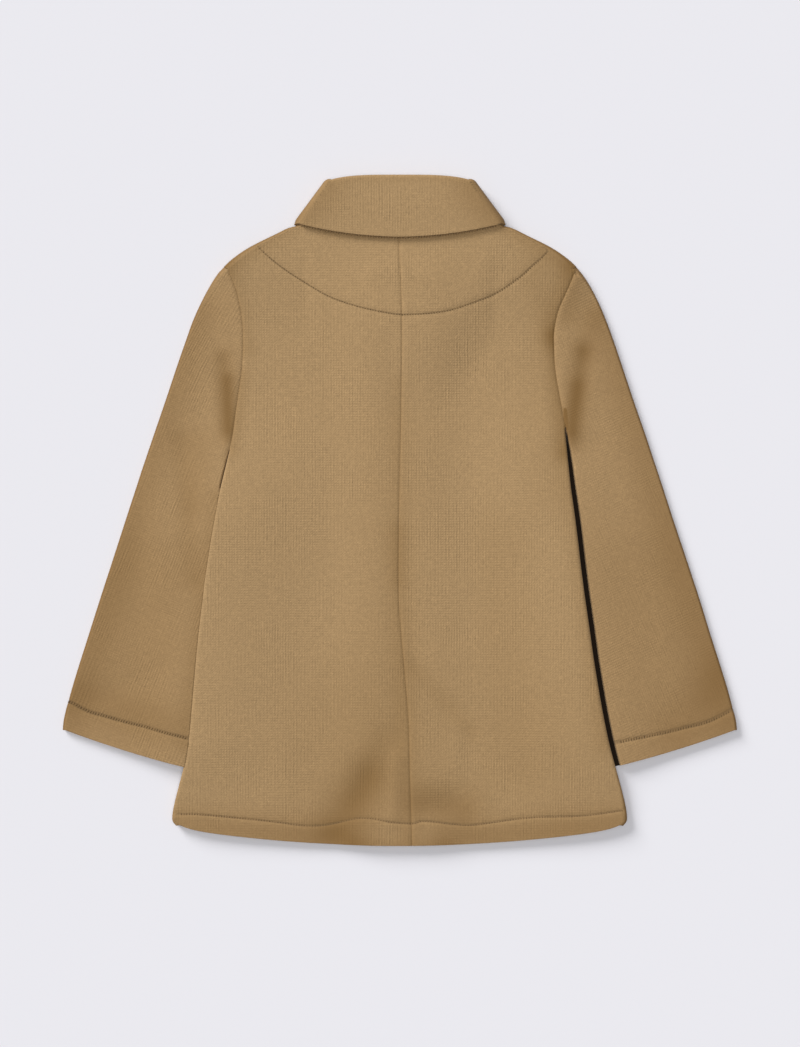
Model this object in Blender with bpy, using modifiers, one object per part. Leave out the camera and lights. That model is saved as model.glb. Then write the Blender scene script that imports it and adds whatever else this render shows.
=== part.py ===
"""Child's bell-sleeve coat, laid flat on its front with its back up.

Every cut piece is one sheet of knitted cloth with its own wall: two backs, two fronts
that lap at the middle, two sleeves that are flattened tubes, and a turned-down collar.
The tables and sizes are in millimetres.  X runs across the coat, Y towards the collar and
Z up from the surface it lies on.
"""
import math
from collections import namedtuple

import bmesh
import bpy

MM = 0.001

# ---- cloth and layers ---------------------------------------------------------------
CLOTH = 1.8            # wall of the knitted cloth
COLLAR_WALL = 3.2      # the collar's two plies together
SEAM_GAP = 0.3         # room between two pieces at a seam
LAYER_ROOM = 2.0       # room between the front and the back
TOE_ROOM = 0.3         # room inside a sleeve's pressed inner edge
SLEEVE_ROOM = 1.7      # room inside a sleeve elsewhere
LEAST_BODY_ROOM = 1.2  # no two layers of the body lie closer
LEAST_SLEEVE_ROOM = 0.8
MOST_ROOM = 3.9        # no flattened layer stands further from the next
LEAST_ROLL = 0.6       # half width of a rolled or folded edge that is pressed flat

# ---- lengths along the coat (heights in plan, Y) ------------------------------------
NECK_SEAM_Y = 244.5    # back neck seam at the middle
NECK_SIDE_RISE = 3.8   # how much higher that seam is at the shoulder
FRONT_NECK_Y = 198.0   # front neck seam at the middle
FRONT_NECK_POWER = 2.2 # above 2, the front neck's curve is flatter at the middle
NECK_HALF = 81.4       # half the neck seam's width
TIP_Y = 209.3          # shoulder tip
BACK_MIDDLE_TIP_Y = 206.0  # where the section through the shoulder tips meets the middle
FRONT_MIDDLE_TIP_Y = 184.0
ARMPIT_STEP = 3.0      # the last section above an armpit ends this close to it
CUFF_INNER_Y = -221.6  # inner corner of a sleeve's cuff
OUTER_BY_ARMPIT_Y = 78.0   # where the section through the armpit meets the outer edge
CUFF_BOW = 1.9         # how far the cuff's edge bows out at its middle
HEM_Y = -288.6         # hem at the middle of the back
HEM_BOW = 0.00042      # rise of the hem for each square millimetre from the middle
HEM_CORNER = 4.6       # further rise at the side, where the corner is round
HEM_CORNER_LENGTH = 9.0

# ---- collar -------------------------------------------------------------------------
STAND_REACH = 2.1      # stand's middle surface from the collar's middle plane
LEAF_REACH = 5.7       # leaf's middle surface from the same plane
COLLAR_LEVEL = LEAF_REACH + COLLAR_WALL / 2 + 0.05
FOLD_Y = 284.9         # centre of the roll at the middle of the back
FOLD_HALF = 60.0       # half the roll's length
FOLD_DROP = 3.9        # how much lower the roll is at its ends
TURN_DROP = 3.1        # and further where it turns to the front
FRONT_FOLD_Y = 232.0   # centre of the roll at the middle of the front
LEAF_BACK = 10.1        # leaf below the neck seam: middle of the back
LEAF_SIDE = 5.0        # at the shoulders
TURN_LEAF = 3.6        # how much longer it is where it turns to the front
LEAF_FRONT = 28.0      # at the middle of the front
COLLAR_OPEN = 2.0      # between the collar's two ends

# ---- lifts and laps -----------------------------------------------------------------
OVERLAP_HALF = 12.0    # half the width that the fronts lap
OVERLAP_RAMP = 9.0     # width in which a layer climbs over the lap
FRONT_LAP_MARGIN = 1.0 # the upper front starts to climb this far before the lap
BACK_LAP_MARGIN = 6.0
LAP_END = 14.0         # length below the front neck in which the back sinks to the lap
TOE_LIFT = 2 * CLOTH + TOE_ROOM + SEAM_GAP
TOE_LAP = 7.0          # how far a sleeve's edge runs under the body
TOE_LAP_START = 34.0   # length below an armpit at which the edge starts to go under
TOE_LAP_LENGTH = 20.0
TOE_CLOSE_LENGTH = 22.0    # length below an armpit over which the edge is pressed flat
COLLAR_LIFT = COLLAR_LEVEL - STAND_REACH - CLOTH / 2
SLIT = 4.6             # open width between the body and the right sleeve
LIFT_FLAT = 11.0       # width that stays fully lifted beside an edge
LIFT_RAMP = 23.0
ARMPIT_BLEND = 24.0    # length below an armpit over which the layers part
CUFF_CLEAR = 10.0      # the body is back on the floor from here below the cuffs
CUFF_FADE = 28.0
LEAF_CLEAR = 8.0       # the front is fully lifted from here below the collar's leaf
LEAF_FADE = 24.0
SIDE_PUFF = 1.7        # further room between the body's layers along its sides
SIDE_PUFF_FLAT = 6.0
SIDE_PUFF_FADE = 40.0
NECK_PUFF = 0.4        # and towards the neck
NECK_PUFF_Y = 185.0
NECK_PUFF_FADE = 25.0
SWELL_WIDTH = 30.0     # width of the swollen strip beside the body
SEAM_FADE = 30.0       # width in which a sleeve comes down from its armhole seam
LEAST_FOOT = 2.5       # least width of a sleeve's pressed inner edge

# ---- mesh density -------------------------------------------------------------------
SHOULDER_ROWS = 5
SHOULDER_CROWDING = 1.35   # above 1, the sections crowd towards the neck
ARM_ROWS = 10
BACK_COLUMNS = 11
FRONT_COLUMNS = 9
ROLL_STEPS = 3
ROLL_SQUARENESS = 1.35 # above 1, the rolled edges end upright at their seam
FOLD_STEPS = 4
NECK_BLEND_ROWS = 10   # sections over which the neck's curve fades into straight ones
HEM_BLEND_ROWS = 8
CUFF_BLEND_ROWS = 4
SLEEVE_COLUMNS = 8
TOE_COLUMNS = 2        # of these, how many are in the pressed inner edge
CUFF_RELIEF_COLUMNS = 3
LOWER_ROWS = 14        # sections of a sleeve below the armpit
SLEEVE_ROWS = ARM_ROWS + LOWER_ROWS
STAND_STEPS = 2        # steps up the collar's stand
ROLL_TURNS = 4         # round its roll
LEAF_STEPS = 3         # down its leaf
TURN_STEPS = 4         # round each shoulder
COLLAR_ROWS = STAND_STEPS + ROLL_TURNS + LEAF_STEPS

# slit: open width beside the body; climb: width in which the sleeve rises out of it
Side = namedtuple("Side", "name sign armpit_y slit climb swell")
LEFT = Side("left", -1, 56.0, 0.5, 15.0, 0.9)
RIGHT = Side("right", 1, 69.0, SLIT, 2.0, 2.0)

EdgeRow = namedtuple("EdgeRow", "y left right")    # distances from the middle line at height y
SHOULDER = (
    EdgeRow(250.0, 83.9, 83.9),
    EdgeRow(247.6, 85.6, 85.6),
    EdgeRow(245.4, 87.4, 87.4),
    EdgeRow(244.4, 89.4, 89.4),
    EdgeRow(243.6, 93.6, 93.8),
    EdgeRow(241.6, 98.6, 99.0),
    EdgeRow(239.0, 103.7, 104.1),
    EdgeRow(232.5, 116.7, 117.0),
    EdgeRow(225.6, 129.9, 130.3),
    EdgeRow(218.7, 140.7, 141.1),
    EdgeRow(213.5, 147.6, 148.1),
    EdgeRow(TIP_Y, 151.8, 152.3),
)
ARMHOLE = (
    EdgeRow(205.0, 147.8, 150.4),
    EdgeRow(195.0, 142.9, 146.4),
    EdgeRow(185.0, 139.7, 142.0),
    EdgeRow(172.0, 137.0, 136.5),
    EdgeRow(155.0, 135.2, 133.0),
    EdgeRow(138.0, 135.2, 132.8),
    EdgeRow(120.0, 136.2, 134.0),
    EdgeRow(103.0, 138.7, 136.8),
    EdgeRow(86.0, 141.2, 139.8),
    EdgeRow(69.0, 143.4, 142.3),
    EdgeRow(56.0, 145.6, 144.0),
)
BODY_SIDE = (
    EdgeRow(69.0, 143.4, 142.3),
    EdgeRow(56.0, 145.6, 143.4),
    EdgeRow(40.0, 149.3, 145.0),
    EdgeRow(20.0, 154.0, 147.1),
    EdgeRow(0.0, 158.2, 149.9),
    EdgeRow(-25.0, 162.7, 153.1),
    EdgeRow(-50.0, 166.3, 156.0),
    EdgeRow(-75.0, 169.6, 159.3),
    EdgeRow(-100.0, 172.7, 162.9),
    EdgeRow(-125.0, 175.3, 166.4),
    EdgeRow(-150.0, 177.6, 170.4),
    EdgeRow(-175.0, 179.8, 174.8),
    EdgeRow(-200.0, 182.1, 180.0),
    EdgeRow(-220.0, 185.7, 185.2),
    EdgeRow(-240.0, 190.9, 190.8),
    EdgeRow(-254.0, 194.4, 194.2),
    EdgeRow(-262.5, 195.8, 195.5),
    EdgeRow(-267.5, 195.5, 195.2),
    EdgeRow(-270.9, 192.6, 192.5),
)
SLEEVE_OUTER = (
    EdgeRow(TIP_Y, 151.8, 152.3),
    EdgeRow(205.0, 155.6, 155.7),
    EdgeRow(195.0, 162.5, 162.6),
    EdgeRow(181.0, 170.4, 170.3),
    EdgeRow(164.0, 178.2, 177.7),
    EdgeRow(146.0, 184.6, 184.3),
    EdgeRow(129.0, 190.5, 190.1),
    EdgeRow(95.0, 201.8, 201.4),
    EdgeRow(60.0, 213.8, 213.5),
    EdgeRow(26.0, 224.9, 224.9),
    EdgeRow(-8.0, 236.1, 235.9),
    EdgeRow(-43.0, 247.5, 247.6),
    EdgeRow(-77.0, 258.6, 258.6),
    EdgeRow(-111.0, 269.4, 269.1),
    EdgeRow(-146.0, 280.4, 280.2),
    EdgeRow(-163.0, 285.3, 285.0),
    EdgeRow(-180.0, 289.5, 289.3),
    EdgeRow(-189.2, 290.5, 290.5),
)
CentreRow = namedtuple("CentreRow", "y x")          # the centre-back seam leans as it lies
CENTRE_BACK = (
    CentreRow(244.5, -1.6),
    CentreRow(170.0, 1.8),
    CentreRow(81.0, 1.0),
    CentreRow(-10.0, -0.8),
    CentreRow(-77.0, -0.9),
    CentreRow(-104.0, 1.0),
    CentreRow(-142.0, 4.4),
    CentreRow(-180.0, 7.4),
    CentreRow(-232.0, 8.8),
    CentreRow(-288.6, 10.4),
)
SideRow = namedtuple("SideRow", "centre left right")  # one section across the body below the arms
SIDE_ROWS = (
    SideRow(60.0, 56.0, 69.0),
    SideRow(48.0, 45.0, 57.0),
    SideRow(34.0, 32.0, 43.0),
    SideRow(16.0, 14.0, 24.0),
    SideRow(-10.0, -13.0, -5.0),
    SideRow(-40.0, -43.0, -36.0),
    SideRow(-71.0, -73.0, -67.0),
    SideRow(-103.0, -103.0, -99.0),
    SideRow(-135.0, -134.0, -131.0),
    SideRow(-167.0, -165.0, -163.0),
    SideRow(-198.0, -196.0, -195.0),
    SideRow(-229.0, -227.0, -227.0),
    SideRow(-249.0, -243.0, -243.0),
    SideRow(-261.5, -254.0, -254.0),
    SideRow(-268.5, -260.0, -259.0),
    SideRow(-278.0, -266.5, -266.0),
    SideRow(HEM_Y, -270.9, -270.9),
)
STITCH_ROW = 14        # the section that runs along the hem's stitching
BODY_ROWS = SHOULDER_ROWS + ARM_ROWS + len(SIDE_ROWS) - 1

Fold = namedtuple("Fold", "x0 y0 x1 y1 half_width rise")   # a soft ridge or, below 0, a trough
BODY_FOLDS = (
    Fold(-7, 100, -7, -115, 8, -0.5),        # beside the centre-back seam
    Fold(-12, -190, -41, -256, 10, -1.3),    # long trough above the hem
    Fold(3, -208, -17, -262, 8, 0.9),
    Fold(27, -222, 35, -262, 9, -0.9),
    Fold(27, -120, 48, -188, 12, -0.7),
    Fold(90, -62, 103, -165, 12, -0.8),
    Fold(-146, -70, -152, -205, 15, 0.8),
    Fold(-62, -60, -92, -150, 14, -0.5),
    Fold(60, 150, 118, 208, 13, -0.5),       # pull from the neck to the shoulder
    Fold(-60, 150, -112, 205, 13, -0.4),
)
SLEEVE_FOLDS = (
    Fold(-154, 143, -147, 58, 7, -1.3),      # the armpit's crease
    Fold(-142, 150, -142, 108, 5, 0.6),
    Fold(-180, 80, -180, -50, 10, -0.8),
    Fold(-217, -142, -270, -162, 13, -0.9),
    Fold(158, 142, 147, 69, 7, -1.3),
    Fold(214, 40, 238, -60, 12, -0.6),
    Fold(246, -120, 262, -165, 13, -0.8),
)
HEM_BAND_RISE = 0.5
STITCH_DIP = -0.7

KNIT_BACK = (0.392, 0.250, 0.130, 1.0)
KNIT_SLEEVE = (0.340, 0.212, 0.103, 1.0)
KNIT_INNER = (0.330, 0.205, 0.105, 1.0)
KNIT_ROUGHNESS = 0.92


# ---- small helpers ------------------------------------------------------------------
def mix(start, end, share):
    return start + (end - start) * share


def smooth(share):
    """0 below 0, 1 above 1, with a soft start and end."""
    share = min(max(share, 0.0), 1.0)
    return share * share * (3 - 2 * share)


def along(table, column, y):
    """Value of a table's column at height y, on a smooth curve through its rows."""
    rows = [(row.y, getattr(row, column)) for row in table]
    y = min(max(y, rows[-1][0]), rows[0][0])
    last = len(rows) - 1
    first = next(i for i in range(last) if y >= rows[i + 1][0])

    def slope(index):
        before, after = rows[max(index - 1, 0)], rows[min(index + 1, last)]
        return (after[1] - before[1]) / (after[0] - before[0])

    (y0, v0), (y1, v1) = rows[first], rows[first + 1]
    span = y1 - y0
    t = (y - y0) / span
    return ((1 + 2 * t) * (1 - t) ** 2 * v0 + t * t * (3 - 2 * t) * v1
            + span * (t * (1 - t) ** 2 * slope(first) - t * t * (1 - t) * slope(first + 1)))


def outline(table, side, y):
    """Plan point of an outline on one side of the coat."""
    return side.sign * along(table, side.name, y), y


def outward(table, side, y):
    """Unit vector in plan that points away from the cloth inside an outline."""
    above, below = outline(table, side, y + 1), outline(table, side, y - 1)
    run, fall = below[0] - above[0], below[1] - above[1]
    length = math.hypot(run, fall)
    return side.sign * -fall / length, side.sign * run / length


def fold_rise(folds, x, y):
    """Height that the listed ridges and troughs give at a plan point."""
    total = 0.0
    for fold in folds:
        run, climb = fold.x1 - fold.x0, fold.y1 - fold.y0
        share = ((x - fold.x0) * run + (y - fold.y0) * climb) / (run * run + climb * climb)
        share = min(max(share, 0.0), 1.0)
        distance = math.hypot(x - fold.x0 - share * run, y - fold.y0 - share * climb)
        total += fold.rise * math.exp(-(distance / fold.half_width) ** 2)
    return total


def armhole_height(side, step):
    """Height in plan at which a section meets the armhole seam."""
    if step == ARM_ROWS:
        return side.armpit_y
    return mix(TIP_Y, side.armpit_y + ARMPIT_STEP, step / (ARM_ROWS - 1))


# ---- heights of the layers ----------------------------------------------------------
def below_armpit(side, y):
    return smooth((side.armpit_y - y) / ARMPIT_BLEND)


def from_side(side, x, y):
    """Distance inwards from the body's side edge."""
    return along(BODY_SIDE, side.name, y) - abs(x)


def front_collar_edge(x):
    """Height in plan of the front leaf's lower edge."""
    share = min(abs(x) / NECK_HALF, 1.0)
    return neck_height(x, True) - mix(LEAF_FRONT, LEAF_SIDE, share * share)


def front_lift(x, y):
    """Underside of a front above the floor: over the sleeves' edges and the collar."""
    side = LEFT if x < 0 else RIGHT
    near_side = 1 - smooth((from_side(side, x, y) - LIFT_FLAT) / LIFT_RAMP)
    above_cuff = smooth((y - CUFF_INNER_Y + CUFF_CLEAR + CUFF_FADE) / CUFF_FADE)
    over_toe = TOE_LIFT * near_side * below_armpit(side, y) * above_cuff
    into_leaf = y - front_collar_edge(x) + LEAF_CLEAR + LEAF_FADE
    over_leaf = COLLAR_LIFT * smooth(into_leaf / LEAF_FADE)
    return max(over_toe, over_leaf)


def front_middle(side, x, y):
    """Middle surface of a front; the left one lies over the right where they lap."""
    level = front_lift(x, y) + CLOTH / 2
    if side is LEFT:
        reach = OVERLAP_HALF + OVERLAP_RAMP + FRONT_LAP_MARGIN + x
        level += (CLOTH + SEAM_GAP) * smooth(reach / OVERLAP_RAMP)
    return level


def lap_rise(x, y):
    """What the lapped fronts add under the back."""
    reach = OVERLAP_HALF + OVERLAP_RAMP + BACK_LAP_MARGIN - abs(x)
    below_neck = smooth((FRONT_NECK_Y + LAP_END - y) / LAP_END)
    return (CLOTH + SEAM_GAP) * smooth(reach / OVERLAP_RAMP) * below_neck


def back_middle(x, y):
    """Middle surface of the back."""
    side = LEFT if x < 0 else RIGHT
    near_side = 1 - smooth((from_side(side, x, y) - SIDE_PUFF_FLAT) / SIDE_PUFF_FADE)
    near_neck = smooth((y - NECK_PUFF_Y) / NECK_PUFF_FADE)
    room = LAYER_ROOM + SIDE_PUFF * near_side * below_armpit(side, y) + NECK_PUFF * near_neck
    room += fold_rise(BODY_FOLDS, x, y)
    room = min(max(room, LEAST_BODY_ROOM), MOST_ROOM)
    return front_lift(x, y) + lap_rise(x, y) + 1.5 * CLOTH + room


# ---- body panels --------------------------------------------------------------------
def row_height(side, row):
    """Height in plan at which a section meets the body's outer edge."""
    if row <= SHOULDER_ROWS:
        return mix(SHOULDER[0].y, TIP_Y, (row / SHOULDER_ROWS) ** SHOULDER_CROWDING)
    if row <= SHOULDER_ROWS + ARM_ROWS:
        return armhole_height(side, row - SHOULDER_ROWS)
    return getattr(SIDE_ROWS[row - SHOULDER_ROWS - ARM_ROWS], side.name)


def roll_height(x, y):
    """Half the height between the middle surfaces of the back and the front."""
    side = LEFT if x < 0 else RIGHT
    return (back_middle(x, y) - front_middle(side, x, y)) / 2


def roll_width(side, row, x, y):
    """Plan width of the rolled edge; it opens out below the armpit."""
    radius = roll_height(x, y)
    if row <= SHOULDER_ROWS:
        return radius
    return mix(LEAST_ROLL, radius, below_armpit(side, row_height(side, row)))


def rolled_edge(side, row):
    """Plan point where the flat panel meets its rolled shoulder or side, and its outward way."""
    table = SHOULDER if row <= SHOULDER_ROWS else BODY_SIDE
    y = row_height(side, row)
    tip, way = outline(table, side, y), outward(table, side, y)
    inset = roll_width(side, row, *tip) + CLOTH / 2
    if row == SHOULDER_ROWS + ARM_ROWS:
        inset += SEAM_GAP / 2
    return (tip[0] - way[0] * inset, tip[1] - way[1] * inset), way


def armhole_point(side, row, shift):
    """Plan point on the armhole seam, moved outwards by shift."""
    x, y = outline(ARMHOLE, side, row_height(side, row))
    way = outward(ARMHOLE, side, y)
    return x + way[0] * shift, y + way[1] * shift


def panel_edge(side, row):
    if SHOULDER_ROWS < row < SHOULDER_ROWS + ARM_ROWS:
        return armhole_point(side, row, -SEAM_GAP / 2)
    (x, y), way = rolled_edge(side, row)
    if row == SHOULDER_ROWS:
        x, y = x + side.sign * -way[1] * SEAM_GAP / 2, y + abs(way[0]) * SEAM_GAP / 2
    return x, y


def centre_height(row, is_front):
    """Height in plan at which a section meets the middle."""
    top = FRONT_NECK_Y if is_front else NECK_SEAM_Y
    tip = FRONT_MIDDLE_TIP_Y if is_front else BACK_MIDDLE_TIP_Y
    if row <= SHOULDER_ROWS:
        return mix(top, tip, row / SHOULDER_ROWS)
    if row <= SHOULDER_ROWS + ARM_ROWS:
        return mix(tip, SIDE_ROWS[0].centre, (row - SHOULDER_ROWS) / ARM_ROWS)
    return SIDE_ROWS[row - SHOULDER_ROWS - ARM_ROWS].centre


def panel_middle(side, row, is_front):
    """Plan point of a panel's edge at the middle of the coat."""
    y = centre_height(row, is_front)
    if is_front:
        return -side.sign * OVERLAP_HALF, y
    return along(CENTRE_BACK, "x", y) + side.sign * SEAM_GAP / 2, y


def neck_height(x, is_front):
    share = min(abs(x) / NECK_HALF, 1.0)
    side_y = NECK_SEAM_Y + NECK_SIDE_RISE
    if is_front:
        return mix(FRONT_NECK_Y, side_y, share ** FRONT_NECK_POWER)
    return mix(NECK_SEAM_Y, side_y, share * share)


def hem_height(side, x):
    """Plan height of the hem, with its corner rounded at the side."""
    half = along(BODY_SIDE, side.name, BODY_SIDE[-1].y)
    corner = HEM_CORNER * math.exp(-(half - abs(x)) / HEM_CORNER_LENGTH)
    return HEM_Y + HEM_BOW * x * x + corner


def bow(curve, outer_x, inner_x, share):
    """How far a curved edge stands off the straight line between its two ends."""
    return curve(mix(outer_x, inner_x, share)) - mix(curve(outer_x), curve(inner_x), share)


def panel_columns(is_front):
    return FRONT_COLUMNS if is_front else BACK_COLUMNS


def column_share(width, is_front, column):
    """Place of a column across a panel: 0 at its outer edge, 1 at the middle of the coat."""
    outer = [0.0, LIFT_FLAT, LIFT_FLAT + LIFT_RAMP]
    lap = 2 * OVERLAP_HALF + FRONT_LAP_MARGIN
    inner = [width - lap - OVERLAP_RAMP, width - lap, width] if is_front else [width]
    between = panel_columns(is_front) + 2 - len(outer) - len(inner)
    evenly = [mix(outer[-1], inner[0], step / between) for step in range(1, between)]
    return (outer + evenly + inner)[column] / width


def panel_point(side, is_front, column, row):
    """Plan point of a panel's grid; column 0 is its outer edge."""
    outer, inner = panel_edge(side, row), panel_middle(side, row, is_front)
    width = math.hypot(inner[0] - outer[0], inner[1] - outer[1])
    share = column_share(width, is_front, column)
    x, y = mix(outer[0], inner[0], share), mix(outer[1], inner[1], share)
    neck_share = max(1 - row / NECK_BLEND_ROWS, 0.0)
    y += neck_share * bow(lambda at: neck_height(at, is_front), panel_edge(side, 0)[0],
                          panel_middle(side, 0, is_front)[0], share)
    hem_share = smooth((row - BODY_ROWS) / HEM_BLEND_ROWS + 1)
    y += hem_share * bow(lambda at: hem_height(side, at), panel_edge(side, BODY_ROWS)[0],
                         panel_middle(side, BODY_ROWS, is_front)[0], share)
    return x, y


def hem_relief(row):
    """The turned hem stands a little proud below the dip along its stitching."""
    step = row - SHOULDER_ROWS - ARM_ROWS - STITCH_ROW
    return {0: STITCH_DIP, 1: HEM_BAND_RISE, 2: HEM_BAND_RISE}.get(step, 0.0)


def panel_level(side, is_front, row, x, y):
    if is_front:
        return front_middle(side, x, y)
    return back_middle(x, y) + hem_relief(row)


def roll_point(side, is_front, row, step):
    """Point of a rolled edge: step 0 is on the panel, the last is the seam at mid height."""
    edge = panel_edge(side, row)
    way = rolled_edge(side, row)[1]
    turn = math.pi / 2 * step / ROLL_STEPS
    reach = roll_width(side, row, *edge) * math.sin(min(turn * ROLL_SQUARENESS, math.pi / 2))
    front = front_middle(side, *edge)
    back = back_middle(*edge) + hem_relief(row)
    middle, half = (front + back) / 2, (back - front) / 2
    drop = SEAM_GAP / 2 + (half - SEAM_GAP / 2) * math.cos(turn)
    level = middle - drop if is_front else middle + drop
    return edge[0] + way[0] * reach, edge[1] + way[1] * reach, level


def body_panel(name, side, is_front, colour):
    """One front or back: a flat panel with a rolled shoulder and a rolled side."""
    columns = panel_columns(is_front)

    def flat(column, row):
        x, y = panel_point(side, is_front, column, row)
        return x, y, panel_level(side, is_front, row, x, y)

    def shoulder(step, row):
        return roll_point(side, is_front, row, step)

    def body_side(step, row):
        return roll_point(side, is_front, row + SHOULDER_ROWS + ARM_ROWS, step)

    grids = (
        (columns, BODY_ROWS, flat),
        (ROLL_STEPS, SHOULDER_ROWS, shoulder),
        (ROLL_STEPS, len(SIDE_ROWS) - 1, body_side),
    )
    return cloth_piece(name, grids, CLOTH, colour)


# ---- sleeves ------------------------------------------------------------------------
def sleeve_heights(side, row):
    """Heights in plan at which a section meets the sleeve's inner and outer edges."""
    if row <= ARM_ROWS:
        return armhole_height(side, row), mix(TIP_Y, OUTER_BY_ARMPIT_Y, row / ARM_ROWS)
    share = (row - ARM_ROWS) / LOWER_ROWS
    return (mix(side.armpit_y, CUFF_INNER_Y, share),
            mix(OUTER_BY_ARMPIT_Y, SLEEVE_OUTER[-1].y, share))


def toe_lap(side, y):
    """How far a sleeve's inner edge lies inside the body's side edge."""
    return mix(-SEAM_GAP, TOE_LAP, smooth((side.armpit_y - TOE_LAP_START - y) / TOE_LAP_LENGTH))


def toe_room(side, y):
    return mix(LAYER_ROOM, TOE_ROOM, smooth((side.armpit_y - y) / TOE_CLOSE_LENGTH))


def toe_width(side, y):
    """Plan width of the sleeve's inner fold."""
    return mix(LEAST_ROLL, (CLOTH + toe_room(side, y)) / 2, below_armpit(side, y))


def sleeve_inner(side, row):
    """Plan point of the sleeve's inner edge: the armhole seam, then the inner fold's centre."""
    y = sleeve_heights(side, row)[0]
    if row == 0:
        (x, y), way = rolled_edge(side, SHOULDER_ROWS)
        return x + side.sign * way[1] * SEAM_GAP, y - abs(way[0]) * SEAM_GAP
    if row < ARM_ROWS:
        return armhole_point(side, SHOULDER_ROWS + row, SEAM_GAP / 2)
    edge = along(BODY_SIDE, side.name, y) - toe_lap(side, y)
    inset = CLOTH / 2 + toe_width(side, y)
    if row == ARM_ROWS:
        inset -= SEAM_GAP / 2
    return side.sign * (edge + inset), y


def sleeve_outer(side, row):
    """Plan point of the centre of the sleeve's outer fold, and its outward way."""
    if row == 0:
        return sleeve_inner(side, 0), rolled_edge(side, SHOULDER_ROWS)[1]
    y = sleeve_heights(side, row)[1]
    tip, way = outline(SLEEVE_OUTER, side, y), outward(SLEEVE_OUTER, side, y)
    inset = (CLOTH + SLEEVE_ROOM) / 2 + CLOTH / 2
    return (tip[0] - way[0] * inset, tip[1] - way[1] * inset), way


def sleeve_room(side, x, y):
    """Room between a sleeve's two layers."""
    below = below_armpit(side, y)
    outside = -from_side(side, x, y) - side.slit * below
    swell = side.swell * math.exp(-(max(outside, 0) / SWELL_WIDTH) ** 2)
    room = SLEEVE_ROOM + swell * below + fold_rise(SLEEVE_FOLDS, x, y)
    room = min(max(room, LEAST_SLEEVE_ROOM), MOST_ROOM)
    return mix(toe_room(side, y), room, mix(1.0, smooth(outside / side.climb), below))


def sleeve_point(side, column, row):
    """Plan point of a sleeve's grid; column 0 is its inner edge."""
    inner, outer = sleeve_inner(side, row), sleeve_outer(side, row)[0]
    share = column / SLEEVE_COLUMNS
    below = below_armpit(side, inner[1]) if row > ARM_ROWS else 0.0
    if below:
        width = math.hypot(outer[0] - inner[0], outer[1] - inner[1])
        foot = max(toe_lap(side, inner[1]) - CLOTH + side.slit, LEAST_FOOT) / width
        head = foot + side.climb / width
        even = mix(head, 1.0, (column - TOE_COLUMNS) / (SLEEVE_COLUMNS - TOE_COLUMNS))
        share = mix(share, (0.0, foot)[column] if column < TOE_COLUMNS else even, below)
    x, y = mix(inner[0], outer[0], share), mix(inner[1], outer[1], share)
    cuff_share = smooth((row - SLEEVE_ROWS) / CUFF_BLEND_ROWS + 1)
    return x, y - cuff_share * CUFF_BOW * 4 * share * (1 - share)


def cuff_relief(row):
    """The turned cuff stands proud below the dip along its stitching."""
    return {SLEEVE_ROWS - 1: STITCH_DIP / 2, SLEEVE_ROWS: HEM_BAND_RISE / 2}.get(row, 0.0)


def upper_level(side, column, row):
    """Middle surface of a sleeve's upper layer; at the armhole it meets the back."""
    x, y = sleeve_point(side, column, row)
    room = sleeve_room(side, x, y) + cuff_relief(row) * min(column / CUFF_RELIEF_COLUMNS, 1.0)
    if row <= ARM_ROWS:
        seam = sleeve_point(side, 0, row)
        seam_room = back_middle(*seam) - 1.5 * CLOTH
        from_seam = math.hypot(x - seam[0], y - seam[1])
        room = mix(seam_room, room, smooth(from_seam / SEAM_FADE))
    return 1.5 * CLOTH + room


def fold_point(start, end, way, width, step):
    """Point of a fold that turns from one layer to the other."""
    turn = math.pi * step / FOLD_STEPS
    middle, half = (start[2] + end[2]) / 2, (start[2] - end[2]) / 2
    reach = width * math.sin(turn)
    return (start[0] + way[0] * reach, start[1] + way[1] * reach,
            middle + half * math.cos(turn))


def sleeve(name, side, colour):
    """Two layers joined by a fold along the outer edge and, below the armpit, the inner one."""
    def upper(column, row):
        return *sleeve_point(side, column, row), upper_level(side, column, row)

    def lower(column, row):
        return *sleeve_point(side, column, row), CLOTH / 2

    def outer_fold(step, row):
        start, end = upper(SLEEVE_COLUMNS, row), lower(SLEEVE_COLUMNS, row)
        way = sleeve_outer(side, row)[1]
        return fold_point(start, end, way, (start[2] - end[2]) / 2, step)

    def inner_fold(step, row):
        start, end = upper(0, row + ARM_ROWS), lower(0, row + ARM_ROWS)
        return fold_point(start, end, (-side.sign, 0.0), toe_width(side, start[1]), step)

    grids = (
        (SLEEVE_COLUMNS, SLEEVE_ROWS, upper),
        (SLEEVE_COLUMNS, SLEEVE_ROWS, lower),
        (FOLD_STEPS, SLEEVE_ROWS, outer_fold),
        (FOLD_STEPS, LOWER_ROWS, inner_fold),
    )
    return cloth_piece(name, grids, CLOTH, colour)


# ---- collar -------------------------------------------------------------------------
# neck: plan point on the neck seam; angle: 90 degrees on the back, -90 on the front
CollarPlace = namedtuple("CollarPlace", "neck angle")


def neck_points(side, is_front):
    """Plan points just above a panel's neck edge, from the shoulder to the middle."""
    points = [panel_point(side, is_front, column, 0)
              for column in range(panel_columns(is_front) + 1)]
    if is_front:
        end = side.sign * COLLAR_OPEN / 2
        points = [point for point in points if point[0] * side.sign > COLLAR_OPEN]
        points.append((end, neck_height(end, True)))
    return [(x, y + SEAM_GAP) for x, y in points]


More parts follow.
